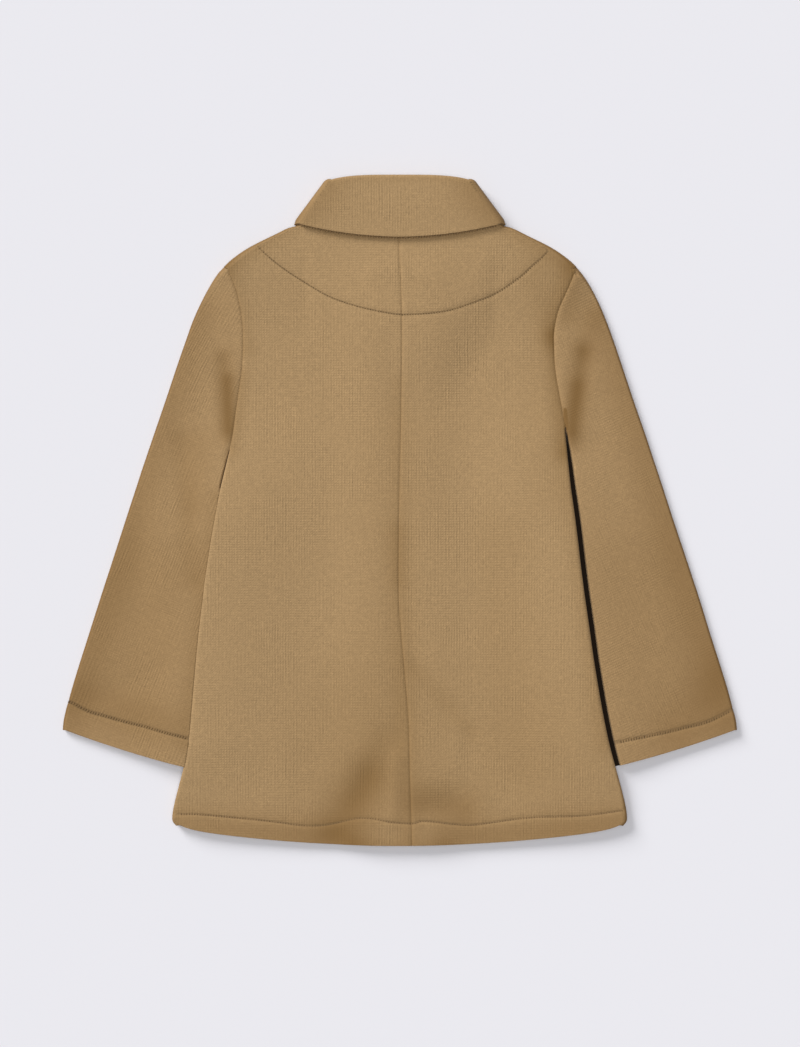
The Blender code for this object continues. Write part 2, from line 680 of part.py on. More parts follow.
def collar_places():
    """Places round the collar, from its right end over the back to its left end."""
    places = [CollarPlace(neck, -90.0) for neck in reversed(neck_points(RIGHT, True))]
    for side, start, end in ((RIGHT, -90.0, 90.0), (LEFT, 90.0, -90.0)):
        shoulder = neck_points(side, False)[0]
        if side is LEFT:
            places += [CollarPlace(neck, 90.0) for neck in neck_points(RIGHT, False)[1:-1]]
            places += [CollarPlace(neck, 90.0) for neck in reversed(neck_points(LEFT, False))]
        places += [CollarPlace(shoulder, mix(start, end, step / TURN_STEPS))
                   for step in range(1, TURN_STEPS + 1)]
    return places + [CollarPlace(neck, -90.0) for neck in neck_points(LEFT, True)[1:]]


def collar_point(place, row):
    """Point of the collar: up the stand, over the roll and down the leaf."""
    neck, share = place.neck, place.neck[0] / NECK_HALF
    angle = math.radians(place.angle)
    if place.angle < 0:
        fold_y = mix(FRONT_FOLD_Y, FOLD_Y - FOLD_DROP, abs(share) ** FRONT_NECK_POWER)
        leaf = mix(LEAF_FRONT, LEAF_SIDE, share * share)
    else:
        fold_y = FOLD_Y - FOLD_DROP * share ** 4
        leaf = mix(LEAF_BACK, LEAF_SIDE, share * share)
    fold_y -= TURN_DROP * math.cos(angle) ** 2
    leaf += TURN_LEAF * math.cos(angle) ** 2
    rise = (share * FOLD_HALF - neck[0], fold_y - neck[1])
    length = math.hypot(*rise)
    lean = NECK_HALF - FOLD_HALF
    height = FOLD_Y - FOLD_DROP - TURN_DROP - NECK_SEAM_Y - NECK_SIDE_RISE
    slant = math.hypot(lean, height)
    way = math.copysign(height, share) / slant, lean / slant
    roll_radius = (LEAF_REACH - STAND_REACH) / 2
    if row <= STAND_STEPS:
        along_stand, reach = length * row / STAND_STEPS, STAND_REACH
    elif row <= STAND_STEPS + ROLL_TURNS:
        turn = math.pi * (row - STAND_STEPS) / ROLL_TURNS
        along_stand = length + roll_radius * math.sin(turn)
        reach = STAND_REACH + roll_radius * (1 - math.cos(turn))
    else:
        down = (row - STAND_STEPS - ROLL_TURNS) / LEAF_STEPS
        along_stand, reach = mix(length, -leaf, down), LEAF_REACH
    outwards = math.cos(angle) * reach
    x = neck[0] + rise[0] / length * along_stand + way[0] * outwards
    y = neck[1] + rise[1] / length * along_stand + way[1] * outwards
    return x, y, COLLAR_LEVEL + math.sin(angle) * reach


def collar(name, colour):
    places = collar_places()

    def leaf_and_stand(column, row):
        return collar_point(places[column], row)

    return cloth_piece(name, ((len(places) - 1, COLLAR_ROWS, leaf_and_stand),),
                       COLLAR_WALL, colour)


# ---- meshes and materials -----------------------------------------------------------
def knit_material(name, colour):
    material = bpy.data.materials.new(name)
    material.use_nodes = True
    shader = material.node_tree.nodes["Principled BSDF"]
    shader.inputs["Base Color"].default_value = colour
    shader.inputs["Roughness"].default_value = KNIT_ROUGHNESS
    shader.inputs["Metallic"].default_value = 0.0
    return material


def shaped_grid(mesh, columns, rows, place):
    """Add a flat grid to the mesh and move each of its points to where place says."""
    grid = bmesh.ops.create_grid(mesh, x_segments=columns, y_segments=rows, size=1.0)
    for point in grid["verts"]:
        column = round((point.co.x + 1) / 2 * columns)
        row = round((point.co.y + 1) / 2 * rows)
        point.co = [value * MM for value in place(column, row)]


def cloth_piece(name, grids, wall, colour):
    """A cut piece: its grids are joined into one open sheet and given the cloth's wall."""
    mesh = bmesh.new()
    for columns, rows, place in grids:
        shaped_grid(mesh, columns, rows, place)
    bmesh.ops.remove_doubles(mesh, verts=mesh.verts, dist=0.00001)
    bmesh.ops.recalc_face_normals(mesh, faces=mesh.faces)
    data = bpy.data.meshes.new(name)
    mesh.to_mesh(data)
    mesh.free()
    data.materials.append(knit_material(name + "_knit", colour))
    data.shade_smooth()
    piece = bpy.data.objects.new(name, data)
    bpy.data.collections["bell_sleeve_coat"].objects.link(piece)
    shell = piece.modifiers.new("Cloth wall", "SOLIDIFY")
    shell.thickness = wall * MM
    shell.offset = 0.0
    shell.use_even_offset = True
    shell.use_quality_normals = True
    return piece


def main():
    for thing in list(bpy.data.objects):
        bpy.data.objects.remove(thing, do_unlink=True)
    coat = bpy.data.collections.new("bell_sleeve_coat")
    bpy.context.scene.collection.children.link(coat)
    for side in (LEFT, RIGHT):
        body_panel("front_" + side.name, side, True, KNIT_INNER)
        body_panel("back_" + side.name, side, False, KNIT_BACK)
        sleeve("sleeve_" + side.name, side, KNIT_SLEEVE)
    collar("collar", KNIT_BACK)


main()
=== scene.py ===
"""Looks of a child's bell-sleeve coat that lies flat on its front, with its back up.

Each cut piece is a fine sheet of knitted cloth that follows the form of its solid, with close
sections, pressed seams, creases, turned hems and stitching.  Tables and sizes are in
millimetres; the settings that a user changes are in Blender's units.  X runs across the coat,
Y towards the collar and Z up from the floor.
"""
import math
from bisect import bisect_right
from collections import namedtuple

import bmesh
import bpy
from bpy.props import FloatProperty, FloatVectorProperty, PointerProperty
from mathutils import Matrix, Vector, noise


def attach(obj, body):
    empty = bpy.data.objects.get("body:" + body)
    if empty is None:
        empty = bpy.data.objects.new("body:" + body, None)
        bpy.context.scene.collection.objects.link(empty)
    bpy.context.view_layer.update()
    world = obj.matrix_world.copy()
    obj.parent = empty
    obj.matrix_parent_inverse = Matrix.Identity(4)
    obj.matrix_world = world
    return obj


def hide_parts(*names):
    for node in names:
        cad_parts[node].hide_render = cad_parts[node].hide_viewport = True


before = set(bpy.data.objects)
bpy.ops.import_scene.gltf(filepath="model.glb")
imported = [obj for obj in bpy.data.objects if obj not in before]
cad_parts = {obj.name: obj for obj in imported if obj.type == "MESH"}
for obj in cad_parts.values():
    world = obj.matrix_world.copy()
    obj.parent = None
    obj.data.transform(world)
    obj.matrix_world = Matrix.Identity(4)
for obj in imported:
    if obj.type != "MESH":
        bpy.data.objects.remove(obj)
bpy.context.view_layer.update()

bl_info = {
    "name": "Bell-sleeve coat",
    "version": (1, 0, 0),
    "blender": (4, 5, 0),
    "location": "View3D > Sidebar > Coat",
    "description": "Makes the knitted pieces, stitching and studio of a child's coat laid flat",
    "category": "Object",
}

MM = 0.001

# ---- cloth and layers ---------------------------------------------------------------
CLOTH = 1.8            # wall of the knitted cloth
COLLAR_WALL = 3.2      # the collar's two plies together
SEAM_GAP = 0.3         # room between two pieces at a seam
LAYER_ROOM = 2.0       # room between the front and the back
TOE_ROOM = 0.3         # room inside a sleeve's pressed inner edge
SLEEVE_ROOM = 1.7      # room inside a sleeve elsewhere
LEAST_ROOM = 0.7       # no two layers lie closer
EDGE_ROUND = 0.3       # width of the rounding on a cut edge, as a share of its wall

# ---- lengths along the coat (heights in plan, Y) ------------------------------------
NECK_SEAM_Y = 244.5    # back neck seam at the middle
NECK_SIDE_RISE = 3.8   # how much higher that seam is at the shoulder
FRONT_NECK_Y = 198.0   # front neck seam at the middle
FRONT_NECK_POWER = 2.2 # above 2, the front neck's curve is flatter at the middle
NECK_HALF = 81.4       # half the neck seam's width
SHOULDER_TOP_Y = 250.0 # shoulder seam at the neck
TIP_Y = 209.3          # shoulder tip
BACK_MIDDLE_TIP_Y = 206.0  # where the section through the shoulder tips meets the middle
FRONT_MIDDLE_TIP_Y = 184.0     # the same on the front
MIDDLE_ARMPIT_Y = 60.0 # where the section through the armpits meets the middle
SIDE_END_Y = -270.9    # side seam at the hem
CUFF_INNER_Y = -221.6  # inner corner of a sleeve's cuff
CUFF_OUTER_Y = -189.2  # and its outer corner
OUTER_BY_ARMPIT_Y = 78.0   # where the section through the armpit meets the outer edge
CUFF_BOW = 1.9         # how far the cuff's edge bows out at its middle
HEM_Y = -288.6         # hem at the middle of the back
HEM_BOW = 0.00042      # rise of the hem for each square millimetre from the middle
HEM_CORNER = 4.6       # further rise at the side, where the corner is round
HEM_CORNER_LENGTH = 9.0

# ---- collar -------------------------------------------------------------------------
STAND_REACH = 2.1      # stand's middle surface from the collar's middle plane
LEAF_REACH = 5.7       # leaf's middle surface from the same plane
COLLAR_LEVEL = LEAF_REACH + COLLAR_WALL / 2 + 0.05
FOLD_Y = 284.9         # centre of the roll at the middle of the back
FOLD_HALF = 60.0       # half the roll's length
FOLD_DROP = 3.9        # how much lower the roll is at its ends
TURN_DROP = 3.1        # and further where it turns to the front
FRONT_FOLD_Y = 232.0   # centre of the roll at the middle of the front
LEAF_BACK = 10.1        # leaf below the neck seam: middle of the back
LEAF_SIDE = 5.0        # at the shoulders
TURN_LEAF = 3.6        # how much longer it is where it turns to the front
LEAF_FRONT = 28.0      # at the middle of the front
LEAF_CURL = 1.5        # how far its edge curls in where it turns to the front
CURL_LENGTH = 5.0      # length over which it curls
TURN_RUN = 10.0        # flat length of the cloth that turns to the front
LEAF_DROOP = 0.8       # how far the leaf's edge sinks towards the back
DROOP_START = 0.375    # share of the leaf above which it does not
COLLAR_OPEN = 2.0      # between the collar's two ends

# ---- lifts and laps -----------------------------------------------------------------
OVERLAP_HALF = 12.0    # half the width that the fronts lap
OVERLAP_RAMP = 9.0     # width in which a layer climbs over the lap
FRONT_LAP_MARGIN = 1.0 # the upper front starts to climb this far before the lap
BACK_LAP_MARGIN = 6.0  # and the back this far
LAP_END = 14.0         # length below the front neck in which the back sinks to the lap
TOE_LIFT = 2 * CLOTH + TOE_ROOM + SEAM_GAP
TOE_LAP = 7.0          # how far a sleeve's edge runs under the body
TOE_LAP_START = 34.0   # length below an armpit at which the edge starts to go under
TOE_LAP_LENGTH = 20.0
TOE_CLOSE_LENGTH = 22.0    # length below an armpit over which the edge is pressed flat
COLLAR_LIFT = COLLAR_LEVEL - STAND_REACH - CLOTH / 2
SLIT = 4.6             # open width between the body and the right sleeve
LIFT_FLAT = 11.0       # width that stays fully lifted beside an edge
LIFT_RAMP = 23.0       # width over which the lift fades
ARMPIT_BLEND = 24.0    # length below an armpit over which the layers part
ROLL_OPENING = 5.0     # length below an armpit over which a rolled edge gets its width
CUFF_CLEAR = 10.0      # the body is back on the floor from here below the cuffs
CUFF_FADE = 28.0       # after coming down over this length
LEAF_CLEAR = 8.0       # the front is fully lifted from here below the collar's leaf
LEAF_FADE = 24.0       # after rising over this length
SIDE_PUFF = 1.7        # further room between the body's layers along its sides
SIDE_PUFF_FLAT = 6.0   # width that stays fully raised
NECK_PUFF = 0.4        # and towards the neck
SLIT_OPENING = 22.0    # length below an armpit in which a slit opens most of the way
SEAM_FADE = 30.0       # width in which a sleeve comes down from its armhole seam
EDGE_INSET = 3.0       # where the body's level beside a sleeve is taken, inside its side edge
EDGE_OVER = -0.1       # height of that sleeve's surface over that level

# sign: -1 on the left, 1 on the right; slit: open width between the body and the sleeve, below
# 0 where the sleeve is pressed against it; climb: width in which the sleeve rises from its inner
# fold; swell and swell_width: height and width of its strip that stands up beside the body;
# level: share by which that strip reaches the body's own surface instead; square: above 1, the
# body's side ends more upright; grain: slant of the sleeve's ribs in radians
Side = namedtuple("Side", "name sign armpit_y slit climb swell swell_width level square grain")
LEFT = Side("left", -1, 56.0, -0.9, 0.9, 4.4, 46.0, 1.0, 4.2, math.radians(-22))
RIGHT = Side("right", 1, 74.0, SLIT, 1.6, 2.2, 32.0, 0.0, 1.35, math.radians(25))
SWELL_LEAD = 60.0      # the swell starts this far above the armpit
SWELL_SPREAD = 100.0   # and reaches its height over this length
HEAD_TURN = 0.003      # how fast a sleeve's ribs turn above the height below
HEAD_TURN_Y = 80.0
SIDES = (LEFT, RIGHT)


def listed(kind, *rows):
    """Rows of numbers under the named columns of a kind."""
    return tuple(kind(*row) for row in rows)


# ---- outlines in plan ---------------------------------------------------------------
EdgeRow = namedtuple("EdgeRow", "y left right")    # distances from the middle line at height y
SHOULDER_EDGE = listed(EdgeRow,
    (SHOULDER_TOP_Y, 83.9, 83.9), (247.6, 85.6, 85.6), (245.4, 87.4, 87.4), (244.4, 89.4, 89.4),
    (243.6, 93.6, 93.8), (241.6, 98.6, 99.0), (239.0, 103.7, 104.1), (232.5, 116.7, 117.0),
    (225.6, 129.9, 130.3), (218.7, 140.7, 141.1), (213.5, 147.6, 148.1), (TIP_Y, 151.8, 152.3),
)
ARMHOLE_EDGE = listed(EdgeRow,
    (TIP_Y, 151.0, 152.3), (205.0, 147.8, 150.4), (195.0, 142.9, 146.4), (185.0, 139.7, 142.0),
    (172.0, 137.0, 136.5), (155.0, 135.2, 133.0), (138.0, 135.2, 132.8), (120.0, 136.2, 134.0),
    (103.0, 138.7, 136.8), (86.0, 141.2, 139.8), (69.0, 143.4, 142.3), (56.0, 145.6, 144.0),
)
BODY_SIDE_EDGE = listed(EdgeRow,
    (69.0, 143.4, 142.3), (56.0, 145.6, 143.4), (40.0, 149.3, 145.0), (20.0, 154.0, 147.1),
    (0.0, 158.2, 149.9), (-25.0, 162.7, 153.1), (-50.0, 166.3, 156.0), (-75.0, 169.6, 159.3),
    (-100.0, 172.7, 162.9), (-125.0, 175.3, 166.4), (-150.0, 177.6, 170.4), (-175.0, 179.8, 174.8),
    (-200.0, 182.1, 180.0), (-220.0, 185.7, 185.2), (-240.0, 190.9, 190.8), (-254.0, 194.4, 194.2),
    (-262.5, 195.8, 195.5), (-267.5, 195.5, 195.2), (SIDE_END_Y, 192.6, 192.5),
)
SLEEVE_EDGE = listed(EdgeRow,
    (TIP_Y, 151.8, 152.3), (205.0, 155.6, 155.7), (195.0, 162.5, 162.6), (181.0, 170.4, 170.3),
    (164.0, 178.2, 177.7), (146.0, 184.6, 184.3), (129.0, 190.5, 190.1), (95.0, 201.8, 201.4),
    (60.0, 213.8, 213.5), (26.0, 224.9, 224.9), (-8.0, 236.1, 235.9), (-43.0, 247.5, 247.6),
    (-77.0, 258.6, 258.6), (-111.0, 269.4, 269.1), (-146.0, 280.4, 280.2), (-163.0, 285.3, 285.0),
    (-180.0, 289.5, 289.3), (CUFF_OUTER_Y, 290.5, 290.5),
)
CENTRE_SEAM = (        # (y, x): the centre-back seam leans as it lies
    (244.5, -1.6), (170.0, 1.8), (81.0, 1.0), (-10.0, -0.8), (-77.0, -0.9),
    (-104.0, 1.0), (-142.0, 4.4), (-180.0, 7.4), (-232.0, 8.8), (-288.6, 10.4),
)

# ---- how the back lies on what is under it ------------------------------------------
SIDE_SPREAD = 105.0    # width over which the back comes down from its raised sides
ARMPIT_LEAD = 50.0     # it starts to rise this far above the armpits
ARMPIT_SPREAD = 130.0  # and rises over this length
HEM_SPREAD = 78.0      # length over which it comes down again towards the hem
HEM_SHARE = 0.3        # share of its rise that is left at the hem
LAP_SPREAD_HALF = 66.0 # half the width that the lapped fronts raise
LAP_SPREAD = 48.0      # width over which that rise fades
NECK_SPREAD = 36.0     # lengths over which the lap and the collar's leaf raise it
LEAF_SPREAD = 92.0

# ---- stitching lines on the pieces (x, y) -------------------------------------------
FACING_STITCH = (
    (-150.0, 262.0), (-122.9, 227.8), (-103.1, 210.1), (-82.4, 196.4), (-61.8, 184.3),
    (-41.2, 176.6), (-20.5, 171.4), (0.1, 168.2), (20.8, 168.9), (41.4, 171.6), (62.0, 178.3),
    (82.7, 186.9), (103.3, 200.7), (113.6, 210.1), (127.4, 223.0), (150.0, 254.0),
)
HEM_STITCH = (
    (-196.0, -261.5), (-176.2, -261.5), (-157.5, -263.0), (-139.2, -264.8), (-120.3, -266.7),
    (-102.2, -268.9), (-86.7, -271.1), (-75.6, -271.7), (-63.8, -270.9), (-52.3, -268.7),
    (-40.7, -265.9), (-33.4, -264.8), (-21.4, -265.6), (-10.2, -267.9), (1.8, -269.1),
    (11.3, -269.5), (19.0, -267.5), (31.1, -268.3), (42.3, -269.8), (59.7, -271.1),
    (76.7, -269.2), (99.9, -265.9), (120.5, -264.1), (142.9, -263.5), (155.8, -262.9),
    (169.1, -261.5), (182.4, -259.5), (196.0, -257.7),
)
CUFF_STITCH = {
    "left": ((-288.0, -163.0), (-281.1, -166.5), (-268.2, -173.0), (-251.9, -177.7),
             (-235.1, -182.4), (-218.3, -186.3), (-202.0, -191.0), (-182.2, -195.8),
             (-170.0, -198.6)),
    "right": ((170.0, -203.0), (186.7, -199.7), (197.1, -197.5), (213.4, -194.4),
              (229.7, -191.0), (246.1, -186.9), (262.4, -182.9), (275.0, -177.7),
              (286.1, -171.4), (288.0, -170.0)),
}
FACING_HALF = 0.8      # half width of the band of painted shade along each line of stitching
HEM_HALF = 1.1
CUFF_HALF = 1.8

Fold = namedtuple("Fold", "x0 y0 x1 y1 half_width rise")   # a soft ridge or, below 0, a trough
BODY_FOLDS = listed(Fold,
    # valley along the centre-back seam
    (-2, 150, -1, -100, 11, -0.4),
    # troughs and ridges above the hem
    (-9, -196, -34, -244, 13, -0.8), (-28, -232, -58, -276, 18, -1.1),
    (-2, -214, -6, -264, 7, 0.8), (24, -256, 44, -252, 14, -1.1), (51, -186, 50, -218, 9, 0.5),
    (66, -226, 72, -266, 12, 0.3),
    # slanting crease and the ridge beside it
    (12, -134, 62, -190, 7, -0.6), (26, -126, 76, -182, 8, 0.3),
    # down the panels
    (84, -20, 102, -220, 24, -0.35), (-96, -196, -108, -252, 14, 0.4),
    (122, -150, 130, -250, 13, 0.3),
    # beside the armholes
    (-128, 150, -124, 60, 9, 0.3), (124, 158, 128, 70, 9, 0.3),
)
SLEEVE_FOLDS = listed(Fold,
    # left: the armpit's crease and those below it
    (-152, 126, -149, 66, 6, -1.3), (-188, 60, -176, -60, 10, -0.9),
    (-212, -142, -262, -160, 14, -0.7), (-212, 30, -204, -70, 12, 0.6),
    # right: ridge at the armhole, the dip beside it and the creases below
    (139, 140, 144, 74, 2.5, 1.0), (158, 138, 148, 88, 9, -0.7), (214, 40, 238, -60, 14, -0.5),
    (250, -116, 266, -165, 14, -0.6),
)
# painted shade in creases, hollows, along seams, on edges and towards the hem: rise counts as its
# share
BODY_PAINTED_SHADE = listed(Fold,
    # along the centre-back seam
    (-2, 110, -1, -60, 8, 0.14), (-3, -20, 8, -284, 11, 0.22), (-2, 60, -22, -260, 34, 0.13),
    # troughs above the hem
    (-14, -200, -38, -250, 15, 0.16), (-28, -232, -54, -272, 20, 0.42),
    (24, -250, 54, -256, 17, 0.44),
    # slanting crease and wide hollows
    (12, -136, 62, -192, 8, 0.12), (86, -30, 101, -220, 30, 0.15),
    (20, -180, 20, -280, 62, 0.12), (-60, -180, -70, -290, 50, 0.14),
    (150, -190, 150, -290, 60, 0.12), (128, 120, 132, 20, 26, 0.14),
    # hem
    (-195, -270, -40, -286, 17, 0.42), (40, -286, 195, -270, 17, 0.44),
    (-40, -290, 40, -290, 7, 0.20),
    # beside the armholes and the right side
    (116, 206, 124, 168, 15, 0.16), (150, 208, 134, 150, 14, 0.54),
    (133, 150, 142, 50, 9, 0.44), (145, 50, 178, -200, 12, 0.26),
    (-148, 208, -136, 140, 11, 0.30), (-137, 116, -146, 52, 8, 0.32),
    # shoulders and below the collar
    (90, 252, 148, 212, 13, 0.38), (-90, 252, -148, 212, 11, 0.28), (-64, 240, 64, 240, 6, 0.18),
    # the slit's upper end
    (142.4, 86, 143, 71, 1.2, 1.3),
)
SLEEVE_PAINTED_SHADE = listed(Fold,
    # left: outer edge, armpit, creases and cuff
    (-176, 172, -290, -187, 22, 0.38), (-152, 132, -148, 70, 8, 0.44),
    (-171, 58, -177, 4, 13, 0.20), (-148, 112, -147, 62, 7, 0.44), (-188, 60, -176, -60, 11, 0.20),
    (-156, 10, -184, -200, 9, 0.22), (-212, -60, -226, -170, 50, 0.30),
    (-280, -158, -200, -186, 18, 0.22),
    # right: the same, and the slit's upper end
    (180, 165, 290, -187, 25, 0.44), (157, 136, 147, 68, 9, 0.56),
    (153, 106, 149, 58, 9, 0.38), (168, 168, 158, 140, 11, 0.18),
    (152, 212, 144, 168, 9, 0.26), (205, -60, 235, -190, 60, 0.26),
    (288, -130, 240, -190, 24, 0.26), (142.4, 86, 143, 71, 1.2, 1.3),
)
COLLAR_PAINTED_SHADE = listed(Fold,
    (-67, 279, -93, 247, 21, 0.36), (67, 279, 93, 247, 23, 0.46), (-60, 290, 60, 290, 6, 0.42),
)
SEAM_TROUGH = 1.1      # half width of the dip along a seam
SEAM_CUSHION = 0.08    # the cloth stands a little proud beside it
CUSHION_PLACE = 4.5    # at this distance from the seam
CUSHION_HALF = 2.5     # half width of the proud strip
STITCH_DIP = 0.45      # depth of the dip along a line of stitching
STITCH_DIP_MARGIN = 0.6    # how much wider the dip is than the band, at each side
BAND_RAMP = 4.0        # width in which a hem's or facing's band rises
BAND_START_RAMP = 3.0  # width beside the body in which the cuff's band starts
RIM_PAINTED_SHADE = 0.66        # share of painted shade on a rolled edge
RIM_TURN = 0.18        # turn in radians at which that starts
RIM_TURN_RAMP = 0.6    # further turn over which it reaches its full share
SEAM_PAINTED_SHADE = 0.16       # the same painted shade along a seam
RIM_INSET = -0.5       # middle of the stitches over the leaf's edge, inside that edge
RIM_HEIGHT = 0.36      # height of those stitches over the leaf's middle, as a share of its wall
HEM_BAND_RISE = 0.5    # how proud a turned hem stands
FACING_RISE = 0.3      # and the facing
FACING_REACH = 10.0    # length below the facing's line in which its dip is worked out
WIDE_WAVE = (52, 88)   # size of the wide waves across and down the coat
CLOSE_WAVE = (21, 34)  # and of the closer ones
CLOSE_WAVE_SHARE = 0.35

# ---- mesh density -------------------------------------------------------------------
EDGE_STEPS = (0.0, 0.4, 0.9, 1.5, 2.3, 3.4, 4.8)   # distances of the first columns from an edge
BACK_COLUMNS = 86
FRONT_COLUMNS = 58
SLEEVE_COLUMNS = 66
SLIT_COLUMNS = 16      # those between a sleeve's inner edge and the slit's far edge
LEAST_SLIT_EDGE = 5.0  # least width of those columns
SHORT_SECTION = 40.0   # sleeve sections shorter than this have closer columns
ROLL_STEPS = 7         # round a shoulder or side
ROLL_START = 0.3       # share of its width that a side's roll has at the armpit
SHOULDER_SQUARENESS = 1.35     # above 1, a shoulder ends more upright
SHOULDER_CROWDING = 1.35   # above 1, the sections crowd towards the neck
GAP_TURN = 1.0         # the slit's painted shade covers a rolled side beyond this turn, in radians
GAP_SHARPNESS = 4.0    # how sharply that painted shade starts there
GAP_INSET = 0.4        # how far the painted shade reaches past a slit's far edge
GAP_LEAD = 2.0         # it starts this far above the armpit
GAP_LEAD_RAMP = 4.0
GAP_END_RAMP = 3.0     # length below the cuff over which the painted shade ends
RIM_END_RAMP = 8.0     # and over which the painted shade on the side's rolled edge starts
FOLD_STEPS = 12        # round a sleeve's fold
HEM_ZONE = 34.0        # length above a hem that has closer sections
FIRST_SLEEVE_STEP = 0.033  # first section of a sleeve below its tip, as a share of the armhole
SHOULDER_LENGTH = 50.0 # lengths that give the number of sections
ARMHOLE_LENGTH = 150.0
SLEEVE_HEAD_LENGTH = 145.0
# shares of a stretch between two marks: 0 to 1 the shoulder, to 2 the armhole, to 3 the side
NECK_BLEND = 1.5       # over which the neck's curve fades into straight sections
HEM_BLEND = 0.22       # over which the hem's curve fades in
CUFF_BLEND = 0.28      # and the cuff's
SEAM_BLEND = 0.06      # over which a seam's dip starts or ends
SEAM_OVERRUN = 0.04    # how far the armhole's seam runs on below the armpit
STAND_STEPS = 8        # up the collar's stand
ROLL_TURNS = 12        # over its roll
LEAF_STEPS = 24        # down its leaf
COLLAR_ROWS = STAND_STEPS + ROLL_TURNS + LEAF_STEPS
TURN_STEPS = 12        # round each shoulder
BACK_NECK_COLUMNS = 40 # along each half of the neck seam
FRONT_NECK_COLUMNS = 34


# ---- settings -----------------------------------------------------------------------
class CoatDrape(bpy.types.PropertyGroup):
    """How the cloth lies."""
    crease_depth: FloatProperty(
        name="Crease depth", description="Depth of the listed creases, against the real ones",
        default=1.0, min=0.0, max=2.0)
    wave_depth: FloatProperty(
        name="Wave depth", description="Height of the shallow waves all over the cloth",
        default=0.00028, min=0.0, max=0.002, unit="LENGTH", precision=5)
    seam_depth: FloatProperty(
        name="Seam depth", description="How far the cloth dips into its seams",
        default=0.0005, min=0.0, max=0.002, unit="LENGTH", precision=5)
    section_step: FloatProperty(
        name="Section step", description="Distance between the sections of the cloth",
        default=0.0023, min=0.001, max=0.02, unit="LENGTH", precision=4)


class CoatKnit(bpy.types.PropertyGroup):
    """Colour and knit of the cloth."""
    body_colour: FloatVectorProperty(
        name="Body", description="Colour of the fronts and backs", subtype="COLOR",
        size=4, default=(0.384, 0.246, 0.116, 1.0), min=0.0, max=1.0)
    sleeve_colour: FloatVectorProperty(
        name="Sleeves", description="Colour of the sleeves", subtype="COLOR",
        size=4, default=(0.371, 0.234, 0.108, 1.0), min=0.0, max=1.0)
    collar_colour: FloatVectorProperty(
        name="Collar", description="Colour of the collar", subtype="COLOR",
        size=4, default=(0.384, 0.246, 0.116, 1.0), min=0.0, max=1.0)
    # painted shade: near-black colour painted deep in the slit between the body and the right
    # sleeve, standing in for its shadow
    slit_shade_colour: FloatVectorProperty(
        name="Deep gaps", description="Colour deep between two layers", subtype="COLOR",
        size=4, default=(0.012, 0.005, 0.0006, 1.0), min=0.0, max=1.0)
    wale_pitch: FloatProperty(
        name="Wale pitch", description="Distance between two ribs of the knit",
        default=0.0023, min=0.0005, max=0.01, unit="LENGTH", precision=5)
    course_pitch: FloatProperty(
        name="Course pitch", description="Distance between two rows of the knit",
        default=0.0022, min=0.0005, max=0.01, unit="LENGTH", precision=5)
    relief: FloatProperty(
        name="Knit relief", description="Height of the ribs of the knit",
        default=0.00008, min=0.0, max=0.001, unit="LENGTH", precision=5)


class CoatStitching(bpy.types.PropertyGroup):
    """The visible stitches."""
    pitch: FloatProperty(
        name="Stitch pitch", description="Distance from one stitch to the next",
        default=0.0023, min=0.001, max=0.01, unit="LENGTH", precision=5)
    thread: FloatProperty(
        name="Thread", description="Thickness of the sewing thread",
        default=0.0009, min=0.0001, max=0.002, unit="LENGTH", precision=5)
    thread_colour: FloatVectorProperty(
        name="Thread colour", description="Colour of the sewing thread", subtype="COLOR",
        size=4, default=(0.17, 0.098, 0.036, 1.0), min=0.0, max=1.0)


class CoatStudio(bpy.types.PropertyGroup):
    """Floor, light and camera."""
    floor_colour: FloatVectorProperty(
        name="Floor", description="Colour of the floor", subtype="COLOR",
        size=4, default=(0.807, 0.799, 0.838, 1.0), min=0.0, max=1.0)
    key_strength: FloatProperty(
        name="Key light", description="Strength of the low light from the upper left",
        default=3.05, min=0.0, max=20.0)
    top_strength: FloatProperty(
        name="Top light", description="Strength of the soft light from straight above",
        default=1.32, min=0.0, max=20.0)
    fill_strength: FloatProperty(
        name="Fill light", description="Strength of the light from all round",
        default=0.20, min=0.0, max=10.0)
    lens: FloatProperty(
        name="Lens", description="Focal length of the camera", default=85.0, min=10.0, max=300.0)
    frame_height: FloatProperty(
        name="Frame height", description="Height that the picture shows at the coat's level",
        default=0.9004, min=0.1, max=5.0, unit="LENGTH", precision=4)


def drape():
    return bpy.context.scene.coat_drape


# ---- small helpers ------------------------------------------------------------------
def mix(start, end, share):
    return start + (end - start) * share


def smooth(share):
    """0 below 0, 1 above 1, with a soft start and end."""
    share = min(max(share, 0.0), 1.0)
    return share * share * (3 - 2 * share)


def bump(distance, half_width):
    """A soft bell: 1 at distance 0, near 0 at twice the half width."""
    return math.exp(-(distance / half_width) ** 2)


def not_below(value, least):
    """The value, eased so that it never falls below the least one."""
    sharpness = 3
    return least + math.log1p(math.exp(sharpness * (value - least))) / sharpness


class Curve:
    """A smooth line through (place, value) pairs."""

    def __init__(self, pairs):
        pairs = sorted(pairs)
        self.places = [place for place, value in pairs]
        self.values = [value for place, value in pairs]
        last = len(pairs) - 1
        self.slopes = []
        for index in range(last + 1):
            before, after = max(index - 1, 0), min(index + 1, last)
            self.slopes.append((self.values[after] - self.values[before])
                               / (self.places[after] - self.places[before]))

    def __call__(self, place):
        place = min(max(place, self.places[0]), self.places[-1])
        first = min(bisect_right(self.places, place), len(self.places) - 1) - 1
        span = self.places[first + 1] - self.places[first]
        t = (place - self.places[first]) / span
        v0, v1 = self.values[first], self.values[first + 1]
        rise = t * (1 - t) ** 2 * self.slopes[first] - t * t * (1 - t) * self.slopes[first + 1]
        return (1 + 2 * t) * (1 - t) ** 2 * v0 + t * t * (3 - 2 * t) * v1 + span * rise


def edge_curves(rows):
    """One curve for each side of the coat, from height to distance from the middle line."""
    return {side.name: Curve([(row.y, getattr(row, side.name)) for row in rows])
            for side in SIDES}


